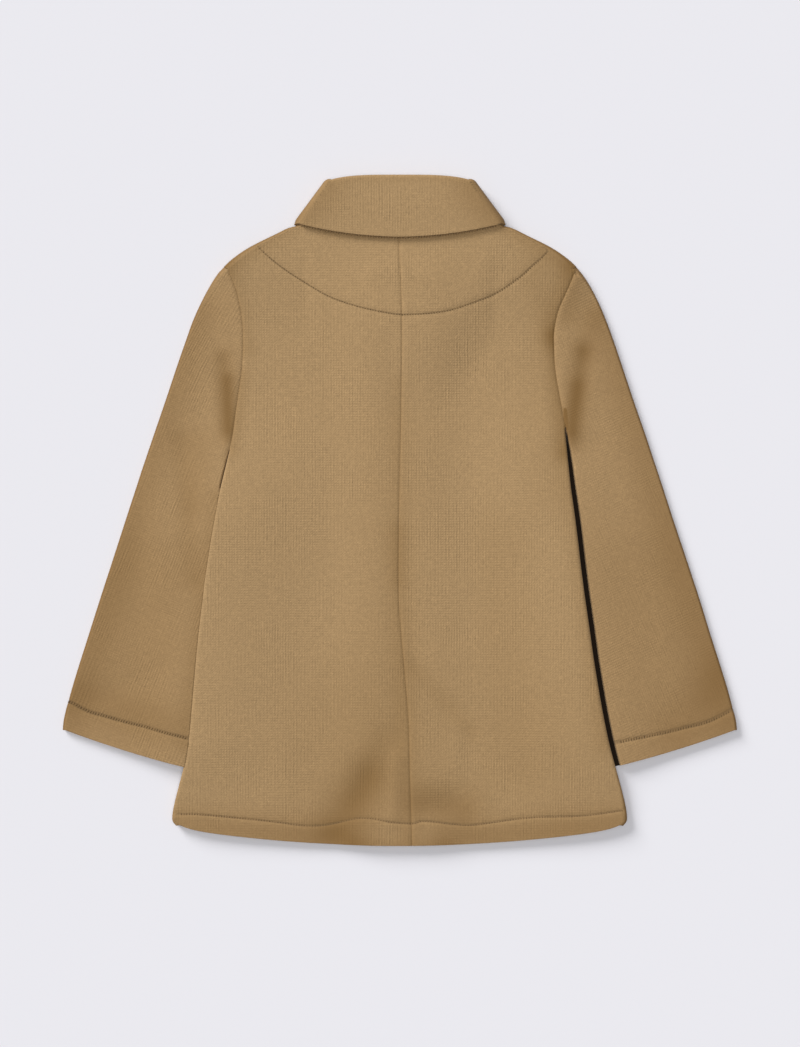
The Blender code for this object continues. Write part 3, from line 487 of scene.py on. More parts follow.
SHOULDER = edge_curves(SHOULDER_EDGE)
ARMHOLE = edge_curves(ARMHOLE_EDGE)
BODY_SIDE = edge_curves(BODY_SIDE_EDGE)
SLEEVE_OUTER = edge_curves(SLEEVE_EDGE)
CENTRE_BACK = Curve(CENTRE_SEAM)
FACING_LINE = Curve(FACING_STITCH)
HEM_LINE = Curve(HEM_STITCH)
CUFF_LINE = {name: Curve(line) for name, line in CUFF_STITCH.items()}


def outline(table, side, y):
    """Plan point of an outline on one side of the coat."""
    return side.sign * table[side.name](y), y


def outward(table, side, y):
    """Unit vector in plan that points away from the cloth inside an outline."""
    above, below = outline(table, side, y + 1), outline(table, side, y - 1)
    run, fall = below[0] - above[0], below[1] - above[1]
    length = math.hypot(run, fall)
    return side.sign * -fall / length, side.sign * run / length


def above_line(line, x, y):
    """Distance of a plan point above a line of stitching; below it is negative."""
    slope = (line(x + 1) - line(x - 1)) / 2
    return (y - line(x)) / math.hypot(1, slope)


def fold_rise(folds, x, y):
    """Height that the listed ridges and troughs give at a plan point."""
    total = 0.0
    for fold in folds:
        run, climb = fold.x1 - fold.x0, fold.y1 - fold.y0
        share = ((x - fold.x0) * run + (y - fold.y0) * climb) / (run * run + climb * climb)
        share = min(max(share, 0.0), 1.0)
        distance = math.hypot(x - fold.x0 - share * run, y - fold.y0 - share * climb)
        if distance < 3 * fold.half_width:
            total += fold.rise * bump(distance, fold.half_width)
    return total


def waves(x, y):
    """Shallow uneven waves, from -1 to 1, longer down the cloth than across it."""
    wide = noise.noise(Vector((x / WIDE_WAVE[0], y / WIDE_WAVE[1], 3.7)))
    close = noise.noise(Vector((x / CLOSE_WAVE[0], y / CLOSE_WAVE[1], 8.2)))
    return wide + CLOSE_WAVE_SHARE * close


# ---- heights of the layers ----------------------------------------------------------
def side_at(x):
    return LEFT if x < 0 else RIGHT


def below_armpit(side, y):
    return smooth((side.armpit_y - y) / ARMPIT_BLEND)


def roll_opening(side, y):
    return smooth((side.armpit_y - y) / ROLL_OPENING)


def from_side(side, x, y):
    """Distance inwards from the body's side edge."""
    return BODY_SIDE[side.name](y) - abs(x)


def neck_height(x, is_front):
    share = min(abs(x) / NECK_HALF, 1.0)
    side_y = NECK_SEAM_Y + NECK_SIDE_RISE
    if is_front:
        return mix(FRONT_NECK_Y, side_y, share ** FRONT_NECK_POWER)
    return mix(NECK_SEAM_Y, side_y, share * share)


def front_collar_edge(x):
    """Height in plan of the front leaf's lower edge."""
    share = min(abs(x) / NECK_HALF, 1.0)
    return neck_height(x, True) - mix(LEAF_FRONT, LEAF_SIDE, share * share)


def front_lift(x, y):
    """Underside of a front above the floor: over the sleeves' edges and the collar."""
    side = side_at(x)
    near_side = 1 - smooth((from_side(side, x, y) - LIFT_FLAT) / LIFT_RAMP)
    above_cuff = smooth((y - CUFF_INNER_Y + CUFF_CLEAR + CUFF_FADE) / CUFF_FADE)
    over_toe = TOE_LIFT * near_side * below_armpit(side, y) * above_cuff
    into_leaf = y - front_collar_edge(x) + LEAF_CLEAR + LEAF_FADE
    over_leaf = COLLAR_LIFT * smooth(into_leaf / LEAF_FADE)
    return max(over_toe, over_leaf)


def front_middle(side, x, y):
    """Middle surface of a front; the left one lies over the right where they lap."""
    level = front_lift(x, y) + CLOTH / 2
    if side is LEFT:
        reach = OVERLAP_HALF + OVERLAP_RAMP + FRONT_LAP_MARGIN + x
        level += (CLOTH + SEAM_GAP) * smooth(reach / OVERLAP_RAMP)
    return level


def lap_rise(x, y):
    """What the lapped fronts add under the back."""
    reach = OVERLAP_HALF + OVERLAP_RAMP + BACK_LAP_MARGIN - abs(x)
    below_neck = smooth((FRONT_NECK_Y + LAP_END - y) / LAP_END)
    return (CLOTH + SEAM_GAP) * smooth(reach / OVERLAP_RAMP) * below_neck


def draped(x, y):
    """What the back would rise to if it only followed the layers under it softly."""
    side = side_at(x)
    near_side = 1 - smooth((from_side(side, x, y) - SIDE_PUFF_FLAT) / SIDE_SPREAD)
    below = smooth((side.armpit_y + ARMPIT_LEAD - y) / ARMPIT_SPREAD)
    above_hem = mix(HEM_SHARE, 1.0, smooth((y - SIDE_END_Y) / HEM_SPREAD))
    over_sleeve = (TOE_LIFT + SIDE_PUFF) * near_side * below * above_hem
    in_middle = smooth((LAP_SPREAD_HALF - abs(x)) / LAP_SPREAD)
    below_neck = smooth((FRONT_NECK_Y + NECK_SPREAD - y) / NECK_SPREAD)
    over_lap = (CLOTH + SEAM_GAP) * in_middle * below_neck
    into_leaf = y - front_collar_edge(x) + LEAF_CLEAR + LEAF_SPREAD
    over_leaf = (COLLAR_LIFT + NECK_PUFF) * smooth(into_leaf / LEAF_SPREAD)
    return LAYER_ROOM + over_sleeve + over_lap + over_leaf


def back_middle(x, y):
    """Middle surface of the back, without its seams and stitching."""
    under = front_lift(x, y) + lap_rise(x, y)
    creases = drape().crease_depth * fold_rise(BODY_FOLDS, x, y)
    creases += drape().wave_depth / MM * waves(x, y)
    return under + 1.5 * CLOTH + not_below(draped(x, y) - under + creases, LEAST_ROOM)


def stitched(line, x, y, half_width, band_below, band_rise):
    """Height that a line of stitching gives: a dip along it and a proud band on one side."""
    above = above_line(line, x, y)
    into_band = -above if band_below else above
    rise = band_rise * smooth(into_band / BAND_RAMP + 0.5)
    return rise - STITCH_DIP * bump(above, half_width + STITCH_DIP_MARGIN)


def hem_ease(x, y):
    """The turned hem's band with the dip along its stitching."""
    if y > HEM_Y + 2 * HEM_ZONE:
        return 0.0
    return stitched(HEM_LINE, x, y, HEM_HALF, True, HEM_BAND_RISE)


def facing_ease(x, y):
    """The sewn-in facing stands a little proud above its curved stitching."""
    if y < FACING_LINE(0) - FACING_REACH:
        return 0.0
    return stitched(FACING_LINE, x, y, FACING_HALF, False, FACING_RISE)


def seam_dip(distance):
    """Height near a seam: the cloth dips into it and stands a little proud beside it."""
    cushion = SEAM_CUSHION * bump(distance - CUSHION_PLACE, CUSHION_HALF)
    return cushion - drape().seam_depth / MM * bump(distance, SEAM_TROUGH)


# ---- fine grids ---------------------------------------------------------------------
# one point of a piece: place, place on the flat cloth, distance from the edge of the slit whose
# shade is painted dark (below 0 inside it), distance from a line of stitching in half widths of its
# band, and share of painted shade
Spot = namedtuple("Spot", "x y z u v gap band deep", defaults=(0.0,))
FAR = 4.0


def near(distance):
    """A signed distance, kept within what its material reads."""
    return min(max(distance, -FAR), FAR)


def crowded(column, columns, width):
    """Distance of a column from the first edge: close steps at both edges, even ones between."""
    close = len(EDGE_STEPS) - 1
    scale = min(1.0, width / (4 * EDGE_STEPS[close]))
    if column <= close:
        return EDGE_STEPS[column] * scale
    if column >= columns - close:
        return width - EDGE_STEPS[columns - column] * scale
    first = EDGE_STEPS[close] * scale
    return mix(first, width - first, (column - close) / (columns - 2 * close))


def stops(start, end, length, step):
    """Even stops from start to end, without the last, about a step apart on that length."""
    count = max(round(length / step), 2)
    return [mix(start, end, index / count) for index in range(count)]


def rim_painted_shade(turn):
    """Share of painted shade on a rolled edge, by its turn from the flat cloth."""
    return RIM_PAINTED_SHADE * smooth((turn - RIM_TURN) / RIM_TURN_RAMP)


def panel_stops():
    """Sections of a body panel: 0 to 1 the shoulder, to 2 the armhole, to 3 the side."""
    step = drape().section_step / MM
    hem_share = 3 - HEM_ZONE / (MIDDLE_ARMPIT_Y - HEM_Y)
    found = stops(0, 1, SHOULDER_LENGTH, step) + stops(1, 2, ARMHOLE_LENGTH, step)
    found += stops(2, hem_share, MIDDLE_ARMPIT_Y - HEM_Y - HEM_ZONE, step)
    return found + stops(hem_share, 3, HEM_ZONE, step / 2) + [3.0]


def sleeve_stops():
    """Sections of a sleeve: 0 to 1 along the armhole, to 2 down to the cuff."""
    step = drape().section_step / MM
    length = OUTER_BY_ARMPIT_Y - CUFF_OUTER_Y
    cuff_share = 2 - HEM_ZONE / length
    found = [0.0] + stops(FIRST_SLEEVE_STEP, 1, SLEEVE_HEAD_LENGTH, step)
    found += stops(1, cuff_share, length - HEM_ZONE, step)
    return found + stops(cuff_share, 2, HEM_ZONE, step / 2) + [2.0]


# ---- body panels --------------------------------------------------------------------
def panel_outer_y(side, section):
    if section <= 1:
        return mix(SHOULDER_TOP_Y, TIP_Y, section ** SHOULDER_CROWDING)
    if section <= 2:
        return mix(TIP_Y, side.armpit_y, section - 1)
    return mix(side.armpit_y, SIDE_END_Y, section - 2)


def panel_middle_y(section, is_front):
    top = FRONT_NECK_Y if is_front else NECK_SEAM_Y
    tip = FRONT_MIDDLE_TIP_Y if is_front else BACK_MIDDLE_TIP_Y
    if section <= 1:
        return mix(top, tip, section)
    if section <= 2:
        return mix(tip, MIDDLE_ARMPIT_Y, section - 1)
    return mix(MIDDLE_ARMPIT_Y, HEM_Y, section - 2)


def roll_width(side, section, x, y):
    """Plan width of the rolled shoulder or side."""
    radius = (back_middle(x, y) - front_middle(side, x, y)) / 2
    if section <= 1:
        return radius
    return radius * roll_opening(side, y) * mix(ROLL_START, 1.0, below_armpit(side, y))


def rolled_edge(side, section):
    """Plan point where the flat panel meets its rolled shoulder or side, and its outward way."""
    table = SHOULDER if section <= 1 else BODY_SIDE
    y = panel_outer_y(side, section)
    tip = outline(table, side, y)
    way = outward(table, side, y) if section <= 1 else (side.sign, 0.0)
    wall = CLOTH / 2 if section <= 1 else mix(SEAM_GAP / 2, CLOTH / 2, roll_opening(side, y))
    inset = roll_width(side, section, *tip) + wall
    return (tip[0] - way[0] * inset, tip[1] - way[1] * inset), way


def armhole_point(side, y, shift):
    """Plan point on the armhole seam, moved outwards by shift."""
    x, y = outline(ARMHOLE, side, y)
    way = outward(ARMHOLE, side, y)
    return x + way[0] * shift, y + way[1] * shift


def panel_edge(side, section):
    if 1 < section < 2:
        return armhole_point(side, panel_outer_y(side, section), -SEAM_GAP / 2)
    return rolled_edge(side, section)[0]


def panel_middle(side, section, is_front):
    """Plan point of a panel's edge at the middle of the coat."""
    y = panel_middle_y(section, is_front)
    if is_front:
        return -side.sign * OVERLAP_HALF, y
    return CENTRE_BACK(y) + side.sign * SEAM_GAP / 4, y


def roll_clear(side, y):
    """Keeps the slit's painted shade off the rolled side above the armpit and below the cuff."""
    above = 1 - roll_opening(side, y)
    under = smooth((CUFF_INNER_Y - y) / GAP_END_RAMP)
    return 2 * FAR * max(above, under)


def hem_height(side, x):
    """Plan height of the hem, with its corner rounded at the side."""
    half = BODY_SIDE[side.name](SIDE_END_Y)
    corner = HEM_CORNER * math.exp(-(half - abs(x)) / HEM_CORNER_LENGTH)
    return HEM_Y + HEM_BOW * x * x + corner


def bow(curve, outer_x, inner_x, share):
    """How far a curved edge stands off the straight line between its two ends."""
    return curve(mix(outer_x, inner_x, share)) - mix(curve(outer_x), curve(inner_x), share)


class PanelSection:
    """One section across a front or a back, from its outer edge to the middle of the coat."""

    def __init__(self, side, is_front, section):
        self.side, self.is_front = side, is_front
        self.outer, self.inner = panel_edge(side, section), panel_middle(side, section, is_front)
        self.width = math.hypot(self.inner[0] - self.outer[0], self.inner[1] - self.outer[1])
        self.neck_share = max(1 - section / NECK_BLEND, 0.0)
        self.hem_share = smooth((section - 3 + HEM_BLEND) / HEM_BLEND)
        self.sewn_outside = (smooth((section - 1) / SEAM_BLEND)
                             * smooth((2 + SEAM_OVERRUN - section) / SEAM_BLEND))

    def plan(self, distance):
        share = distance / self.width
        x, y = mix(self.outer[0], self.inner[0], share), mix(self.outer[1], self.inner[1], share)
        if self.neck_share:
            y += self.neck_share * bow(lambda at: neck_height(at, self.is_front),
                                       *self.corners(0), share)
        if self.hem_share:
            y += self.hem_share * bow(lambda at: hem_height(self.side, at),
                                      *self.corners(3), share)
        return x, y

    def corners(self, section):
        return (panel_edge(self.side, section)[0],
                panel_middle(self.side, section, self.is_front)[0])

    def level(self, distance):
        x, y = self.plan(distance)
        if self.is_front:
            return front_middle(self.side, x, y)
        return (back_middle(x, y) + hem_ease(x, y) + facing_ease(x, y)
                + seam_dip(self.width - distance) + self.sewn_outside * seam_dip(distance))

    def deep(self, distance):
        """Share of painted shade beside the seams."""
        if self.is_front:
            return 0.0
        return SEAM_PAINTED_SHADE * (bump(self.width - distance, SEAM_TROUGH)
                            + self.sewn_outside * bump(distance, SEAM_TROUGH))


def body_band(x, y):
    """Place across the nearest line of stitching on the back, in half widths of its band."""
    if y < 0:
        return near(above_line(HEM_LINE, x, y) / HEM_HALF)
    return near(-above_line(FACING_LINE, x, y) / FACING_HALF)


def body_panel(name, side, is_front, colour):
    """One front or back: a flat panel with a rolled shoulder and a rolled side."""
    columns = FRONT_COLUMNS if is_front else BACK_COLUMNS
    marks = panel_stops()
    sections = [PanelSection(side, is_front, mark) for mark in marks]
    tip, armpit = marks.index(1), marks.index(2)

    def flat(column, row):
        section = sections[row]
        distance = crowded(column, columns, section.width)
        x, y = section.plan(distance)
        band = FAR if is_front else body_band(x, y)
        return Spot(x, y, section.level(distance), x, y, FAR, band, section.deep(distance))

    def roll(step, row):
        """Step 0 is on the panel, the last is the seam at mid height."""
        section = sections[row]
        edge = section.outer
        way = rolled_edge(side, marks[row])[1]
        turn = math.pi / 2 * step / ROLL_STEPS
        width = roll_width(side, marks[row], *edge)
        square = side.square if row > tip else SHOULDER_SQUARENESS
        reach = width * math.sin(min(turn * square, math.pi / 2))
        front = front_middle(side, *edge)
        back = PanelSection(side, False, marks[row]).level(0.0)
        middle, half = (front + back) / 2, (back - front) / 2
        seam = SEAM_GAP / 4
        drop = seam + (half - seam) * math.cos(turn)
        level = middle - drop if is_front else middle + drop
        spread = half * turn
        # painted shade of the slit: beyond GAP_TURN the right side's rolled edge is painted near
        # black
        deep = FAR
        if side.slit > 1 and row > tip:
            deep = near((GAP_TURN - turn) * GAP_SHARPNESS + roll_clear(side, edge[1]))
        # painted shade on the rolled edge, by its turn, except beside a sleeve
        free = 1.0 if row <= tip else smooth((CUFF_INNER_Y - edge[1]) / RIM_END_RAMP)
        return Spot(edge[0] + way[0] * reach, edge[1] + way[1] * reach, level,
                    edge[0] + way[0] * spread, edge[1] + way[1] * spread, deep, FAR,
                    free * rim_painted_shade(turn))

    grids = (
        (columns, len(marks) - 1, flat),
        (ROLL_STEPS, tip, roll),
        (ROLL_STEPS, len(marks) - 1 - armpit, lambda step, row: roll(step, row + armpit)),
    )
    return cloth_piece(name, grids, CLOTH, colour, BODY_PAINTED_SHADE)


# ---- sleeves ------------------------------------------------------------------------
def toe_lap(side, y):
    """How far a sleeve's inner edge lies inside the body's side edge."""
    return mix(-SEAM_GAP, TOE_LAP, smooth((side.armpit_y - TOE_LAP_START - y) / TOE_LAP_LENGTH))


def toe_room(side, y):
    return mix(LAYER_ROOM, TOE_ROOM, smooth((side.armpit_y - y) / TOE_CLOSE_LENGTH))


def toe_width(side, y):
    """Plan width of the sleeve's inner fold."""
    return (CLOTH + toe_room(side, y)) / 2 * below_armpit(side, y)


def slit_width(side, y):
    """Open width between the body and a sleeve."""
    return side.slit * (1 - math.exp(-max(side.armpit_y - y, 0) / SLIT_OPENING))


def past_slit(side, x, y):
    """Distance outwards from the slit's far edge."""
    return -from_side(side, x, y) - slit_width(side, y)


def sleeve_room(side, x, y):
    """Room between a sleeve's two layers."""
    below = below_armpit(side, y)
    outside = past_slit(side, x, y)
    edge = side.sign * (BODY_SIDE[side.name](y) - EDGE_INSET)
    beside = back_middle(edge, y) - 1.5 * CLOTH - SLEEVE_ROOM + EDGE_OVER
    swell = mix(side.swell, beside, side.level) * bump(max(outside, 0), side.swell_width)
    swell *= smooth((side.armpit_y + SWELL_LEAD - y) / SWELL_SPREAD)
    room = SLEEVE_ROOM + swell + drape().crease_depth * fold_rise(SLEEVE_FOLDS, x, y)
    room = not_below(room + drape().wave_depth / MM * waves(x, y), LEAST_ROOM)
    return mix(toe_room(side, y), room, mix(1.0, smooth(outside / side.climb), below))


class SleeveSection:
    """One section across a sleeve, from its inner edge to the centre of its outer fold."""

    def __init__(self, side, section):
        self.side = side
        if section <= 1:
            inner_y = mix(TIP_Y, side.armpit_y, section)
            outer_y = mix(TIP_Y, OUTER_BY_ARMPIT_Y, section)
        else:
            inner_y = mix(side.armpit_y, CUFF_INNER_Y, section - 1)
            outer_y = mix(OUTER_BY_ARMPIT_Y, CUFF_OUTER_Y, section - 1)
        self.inner = self.inner_edge(section, inner_y)
        self.seam_room = back_middle(*self.inner) - 1.5 * CLOTH
        self.held = 1 - below_armpit(side, inner_y)
        self.outer, self.way = self.outer_edge(section, outer_y)
        self.width = math.hypot(self.outer[0] - self.inner[0], self.outer[1] - self.inner[1])
        self.cuff_share = smooth((section - 2 + CUFF_BLEND) / CUFF_BLEND)
        self.sewn = smooth(section / SEAM_BLEND)
        lap = toe_lap(side, inner_y) * roll_opening(side, inner_y)
        self.slit_edge = max(lap + slit_width(side, inner_y), LEAST_SLIT_EDGE)

    def inner_edge(self, section, y):
        side = self.side
        if section == 0:
            (x, y), way = rolled_edge(side, 1)
            return x + side.sign * way[1] * SEAM_GAP, y - abs(way[0]) * SEAM_GAP
        if section < 1:
            return armhole_point(side, y, SEAM_GAP / 4)
        edge = BODY_SIDE[side.name](y) - toe_lap(side, y) * roll_opening(side, y)
        inset = mix(SEAM_GAP / 4, CLOTH / 2 + toe_width(side, y), roll_opening(side, y))
        return side.sign * (edge + inset), y

    def outer_edge(self, section, y):
        if section == 0:
            return self.inner, rolled_edge(self.side, 1)[1]
        tip, way = outline(SLEEVE_OUTER, self.side, y), outward(SLEEVE_OUTER, self.side, y)
        free = mix(1.0, smooth(math.dist(tip, self.inner) / SEAM_FADE), self.held)
        room = mix(self.seam_room, SLEEVE_ROOM, free)
        inset = (CLOTH + room) / 2 + CLOTH / 2
        return (tip[0] - way[0] * inset, tip[1] - way[1] * inset), way

    def distance(self, column):
        """Distance of a column from the inner edge; the columns crowd at the slit's edge too."""
        if column > SLIT_COLUMNS:
            rest = self.width - self.scaled(self.slit_edge)
            return self.width - rest + crowded(column - SLIT_COLUMNS,
                                               SLEEVE_COLUMNS - SLIT_COLUMNS, rest)
        return crowded(column, SLIT_COLUMNS, self.scaled(self.slit_edge))

    def scaled(self, distance):
        """A distance from the inner edge, shorter where the section is short."""
        return distance * min(1.0, self.width / SHORT_SECTION)

    def plan(self, distance):
        share = distance / self.width if self.width else 0.0
        x = mix(self.inner[0], self.outer[0], share)
        y = mix(self.inner[1], self.outer[1], share)
        return x, y - self.cuff_share * CUFF_BOW * 4 * share * (1 - share)

    def upper(self, distance):
        """Middle surface of the upper layer; at the armhole it meets the back."""
        side = self.side
        x, y = self.plan(distance)
        room = sleeve_room(side, x, y)
        free = mix(1.0, smooth(distance / SEAM_FADE), self.held)
        room = mix(self.seam_room, room, free)
        room += self.held * seam_dip(distance) * self.sewn
        if y < CUFF_OUTER_Y + 2 * HEM_ZONE:
            clear = smooth((past_slit(side, x, y) - side.climb) / BAND_START_RAMP + 1)
            line = CUFF_LINE[side.name]
            room += clear * stitched(line, x, y, CUFF_HALF, True, HEM_BAND_RISE / 2)
        return 1.5 * CLOTH + room

    def gap(self, x, y):
        """Distance outwards from the slit's far edge, for the shade painted dark inside it."""
        side = self.side
        if side.slit < 1:
            return FAR
        above = 1 - smooth((side.armpit_y + GAP_LEAD - y) / GAP_LEAD_RAMP)
        return mix(near(past_slit(side, x, y) - GAP_INSET), FAR, above)

    def grain(self, x, y):
        """Place on the flat cloth, whose ribs run down the sleeve."""
        across, down = math.cos(self.side.grain), math.sin(self.side.grain)
        turned = y + HEAD_TURN * max(y - HEAD_TURN_Y, 0) ** 2
        return x * across + turned * down, y * across - x * down


def sleeve(name, side, colour):
    """Two layers joined by a fold along the outer edge and, below the armpit, the inner one."""
    marks = sleeve_stops()
    sections = [SleeveSection(side, mark) for mark in marks]
    armpit = marks.index(1)

    def upper(column, row):
        section = sections[row]
        distance = section.distance(column)
        x, y = section.plan(distance)
        band = near(above_line(CUFF_LINE[side.name], x, y) / CUFF_HALF)
        # painted shade beside the armhole seam
        deep = SEAM_PAINTED_SHADE * section.held * section.sewn * bump(distance, SEAM_TROUGH)
        return Spot(x, y, section.upper(distance), *section.grain(x, y),
                    section.gap(x, y), band, deep)

    def lower(column, row):
        section = sections[row]
        x, y = section.plan(section.distance(column))
        across, down = section.grain(x, y)
        edge = section.grain(*section.outer)[0]
        arc = math.pi / 2 * (CLOTH + SLEEVE_ROOM) * side.sign
        return Spot(x, y, CLOTH / 2, 2 * edge + arc - across, down, FAR, FAR)

    def fold(start, end, way, width, step):
        turn = math.pi * step / FOLD_STEPS
        middle, half = (start.z + end.z) / 2, (start.z - end.z) / 2
        reach, arc = width * math.sin(turn), half * turn
        # the fold gets painted shade by its turn
        return Spot(start.x + way[0] * reach, start.y + way[1] * reach,
                    middle + half * math.cos(turn), start.u + way[0] * arc, start.v,
                    start.gap, start.band, rim_painted_shade(turn) * (width > 0))

    def outer_fold(step, row):
        start, end = upper(SLEEVE_COLUMNS, row), lower(SLEEVE_COLUMNS, row)
        return fold(start, end, sections[row].way, (start.z - end.z) / 2, step)

    def inner_fold(step, row):
        start, end = upper(0, row + armpit), lower(0, row + armpit)
        return fold(start, end, (-side.sign, 0.0), toe_width(side, start.y), step)

    rows = len(marks) - 1
    grids = (
        (SLEEVE_COLUMNS, rows, upper),
        (SLEEVE_COLUMNS, rows, lower),
        (FOLD_STEPS, rows, outer_fold),
        (FOLD_STEPS, rows - armpit, inner_fold),
    )
    return cloth_piece(name, grids, CLOTH, colour, SLEEVE_PAINTED_SHADE)


# ---- collar -------------------------------------------------------------------------
# neck: plan point on the neck seam; angle: 90 degrees on the back, -90 on the front
CollarPlace = namedtuple("CollarPlace", "neck angle run")


def neck_line(side, is_front, columns):
    """Plan points just above a panel's neck edge, from the shoulder to the middle."""
    section = PanelSection(side, is_front, 0)
    length = section.width
    if is_front:
        length *= (abs(section.outer[0]) - COLLAR_OPEN / 2) / (abs(section.outer[0]) + OVERLAP_HALF)
    points = [section.plan(length * column / columns) for column in range(columns + 1)]
    return [(x, y + SEAM_GAP) for x, y in points]


def collar_places():
    """Places round the collar, from its right end over the back to its left end."""
    halves = []
    for side in SIDES:
        back = neck_line(side, False, BACK_NECK_COLUMNS)
        front = neck_line(side, True, FRONT_NECK_COLUMNS)
        places = [CollarPlace(neck, 90.0, neck[0]) for neck in reversed(back[:-1])]
        edge = back[0]
        for step in range(1, TURN_STEPS):
            run = edge[0] + side.sign * TURN_RUN * step / TURN_STEPS
            places.append(CollarPlace(edge, mix(90.0, -90.0, step / TURN_STEPS), run))
        for neck in front:
            run = edge[0] + side.sign * (TURN_RUN + abs(edge[0]) - abs(neck[0]))
            places.append(CollarPlace(neck, -90.0, run))
        halves.append(places)
    middle = CollarPlace(neck_line(RIGHT, False, BACK_NECK_COLUMNS)[-1], 90.0, 0.0)
    return list(reversed(halves[1])) + [middle] + halves[0]


def collar_spot(place, row):
    """Point of the collar: up the stand, over the roll and down the leaf."""
    neck, share = place.neck, place.neck[0] / NECK_HALF
    angle = math.radians(place.angle)
    turning = math.cos(angle) ** 2
    if place.angle < 0:
        fold_y = mix(FRONT_FOLD_Y, FOLD_Y - FOLD_DROP, abs(share) ** FRONT_NECK_POWER)
        leaf = mix(LEAF_FRONT, LEAF_SIDE, share * share)
    else:
        fold_y = FOLD_Y - FOLD_DROP * share ** 4
        leaf = mix(LEAF_BACK, LEAF_SIDE, share * share)
    fold_y -= TURN_DROP * turning
    leaf += TURN_LEAF * turning
    rise = (share * FOLD_HALF - neck[0], fold_y - neck[1])
    length = math.hypot(*rise)
    lean = NECK_HALF - FOLD_HALF
    height = FOLD_Y - FOLD_DROP - TURN_DROP - NECK_SEAM_Y - NECK_SIDE_RISE
    slant = math.hypot(lean, height)
    way = math.copysign(height, share) / slant, lean / slant
    radius = (LEAF_REACH - STAND_REACH) / 2
    droop = 0.0
    if row <= STAND_STEPS:
        along_stand, reach = length * row / STAND_STEPS, STAND_REACH
        down = along_stand
    elif row <= STAND_STEPS + ROLL_TURNS:
        turn = math.pi * (row - STAND_STEPS) / ROLL_TURNS
        along_stand = length + radius * math.sin(turn)
        reach = STAND_REACH + radius * (1 - math.cos(turn))
        down = length + radius * turn
    else:
        share_down = (row - STAND_STEPS - ROLL_TURNS) / LEAF_STEPS
        along_stand, reach = mix(length, -leaf, share_down), LEAF_REACH
        down = length + math.pi * radius + share_down * (length + leaf)
        droop = smooth((share_down - DROOP_START) / (1 - DROOP_START))
        reach -= LEAF_CURL * turning * smooth((-along_stand - leaf + CURL_LENGTH) / CURL_LENGTH)
    outwards = math.cos(angle) * reach
    x = neck[0] + rise[0] / length * along_stand + way[0] * outwards
    y = neck[1] + rise[1] / length * along_stand + way[1] * outwards
    level = COLLAR_LEVEL + math.sin(angle) * reach
    if place.angle > 0:
        level -= math.sin(angle) * LEAF_DROOP * droop
        level += drape().wave_depth / MM * 0.5 * waves(x, y) * (row > STAND_STEPS + ROLL_TURNS)
    # painted shade where the collar turns round to the front
    return Spot(x, y, level, place.run if place.angle < 90 else x, -down, FAR, FAR,
                RIM_PAINTED_SHADE * turning)


def collar(name, colour):
    places = collar_places()

    def leaf_and_stand(column, row):
        return collar_spot(places[column], row)

    grids = ((len(places) - 1, COLLAR_ROWS, leaf_and_stand),)
    return cloth_piece(name, grids, COLLAR_WALL, colour, COLLAR_PAINTED_SHADE)


# ---- meshes -------------------------------------------------------------------------
# gap: distance from the slit whose shade is painted; tone: share of painted shade
Layers = namedtuple("Layers", "grain gap band tone")


def shaped_grid(mesh, layers, columns, rows, place, painted_shade_folds):
    """Add a flat grid to the mesh and move each of its points to where place says."""
    grid = bmesh.ops.create_grid(mesh, x_segments=columns, y_segments=rows, size=1.0)
    spots = {}
    for point in grid["verts"]:
        column = round((point.co.x + 1) / 2 * columns)
        row = round((point.co.y + 1) / 2 * rows)
        spots[point] = place(column, row)
    for point, spot in spots.items():
        point.co = spot.x * MM, spot.y * MM, spot.z * MM
        point[layers.gap] = spot.gap
        point[layers.band] = spot.band
        # tone: painted shade from edges and seams plus the listed creases
        point[layers.tone] = spot.deep + fold_rise(painted_shade_folds, spot.x, spot.y)
    for face in {face for point in spots for face in point.link_faces}:
        for loop in face.loops:
            spot = spots[loop.vert]
            loop[layers.grain].uv = spot.u * MM, spot.v * MM


def new_object(name, mesh):
    """A smooth object of its own for a bmesh, which is freed."""
    data = bpy.data.meshes.new(name)
    mesh.to_mesh(data)
    mesh.free()
    data.shade_smooth()
    piece = bpy.data.objects.new(name, data)
    bpy.context.scene.collection.objects.link(piece)
    return piece


def cloth_piece(name, grids, wall, colour, painted_shade_folds):
    """A cut piece: its grids are joined into one open sheet and given the cloth's wall."""
    mesh = bmesh.new()
    layers = Layers(mesh.loops.layers.uv.new("grain"), mesh.verts.layers.float.new("gap"),
                    mesh.verts.layers.float.new("band"), mesh.verts.layers.float.new("tone"))
    for columns, rows, place in grids:
        shaped_grid(mesh, layers, columns, rows, place, painted_shade_folds)
    bmesh.ops.remove_doubles(mesh, verts=mesh.verts, dist=0.00001)
    bmesh.ops.recalc_face_normals(mesh, faces=mesh.faces)
    piece = new_object(name, mesh)
    piece.data.materials.append(knit_material(name + "_knit", colour))
    shell = piece.modifiers.new("Cloth wall", "SOLIDIFY")
    shell.thickness = wall * MM
    shell.offset = 0.0
    shell.use_quality_normals = True
    edge = piece.modifiers.new("Soft edge", "BEVEL")
    edge.width = wall * MM * EDGE_ROUND
    edge.segments = 2
    edge.limit_method = "ANGLE"
    edge.angle_limit = math.radians(60)
    return piece


# ---- stitches -----------------------------------------------------------------------
Stitch = namedtuple("Stitch", "x y z angle")


def line_points(line, start, end, step):
    """Points and directions at even steps along a line of stitching."""
    found, x = [], start
    while x < end:
        slope = line(x + 0.5) - line(x - 0.5)
        found.append((x, line(x), math.atan(slope)))
        x += step / math.hypot(1, slope)
    return found


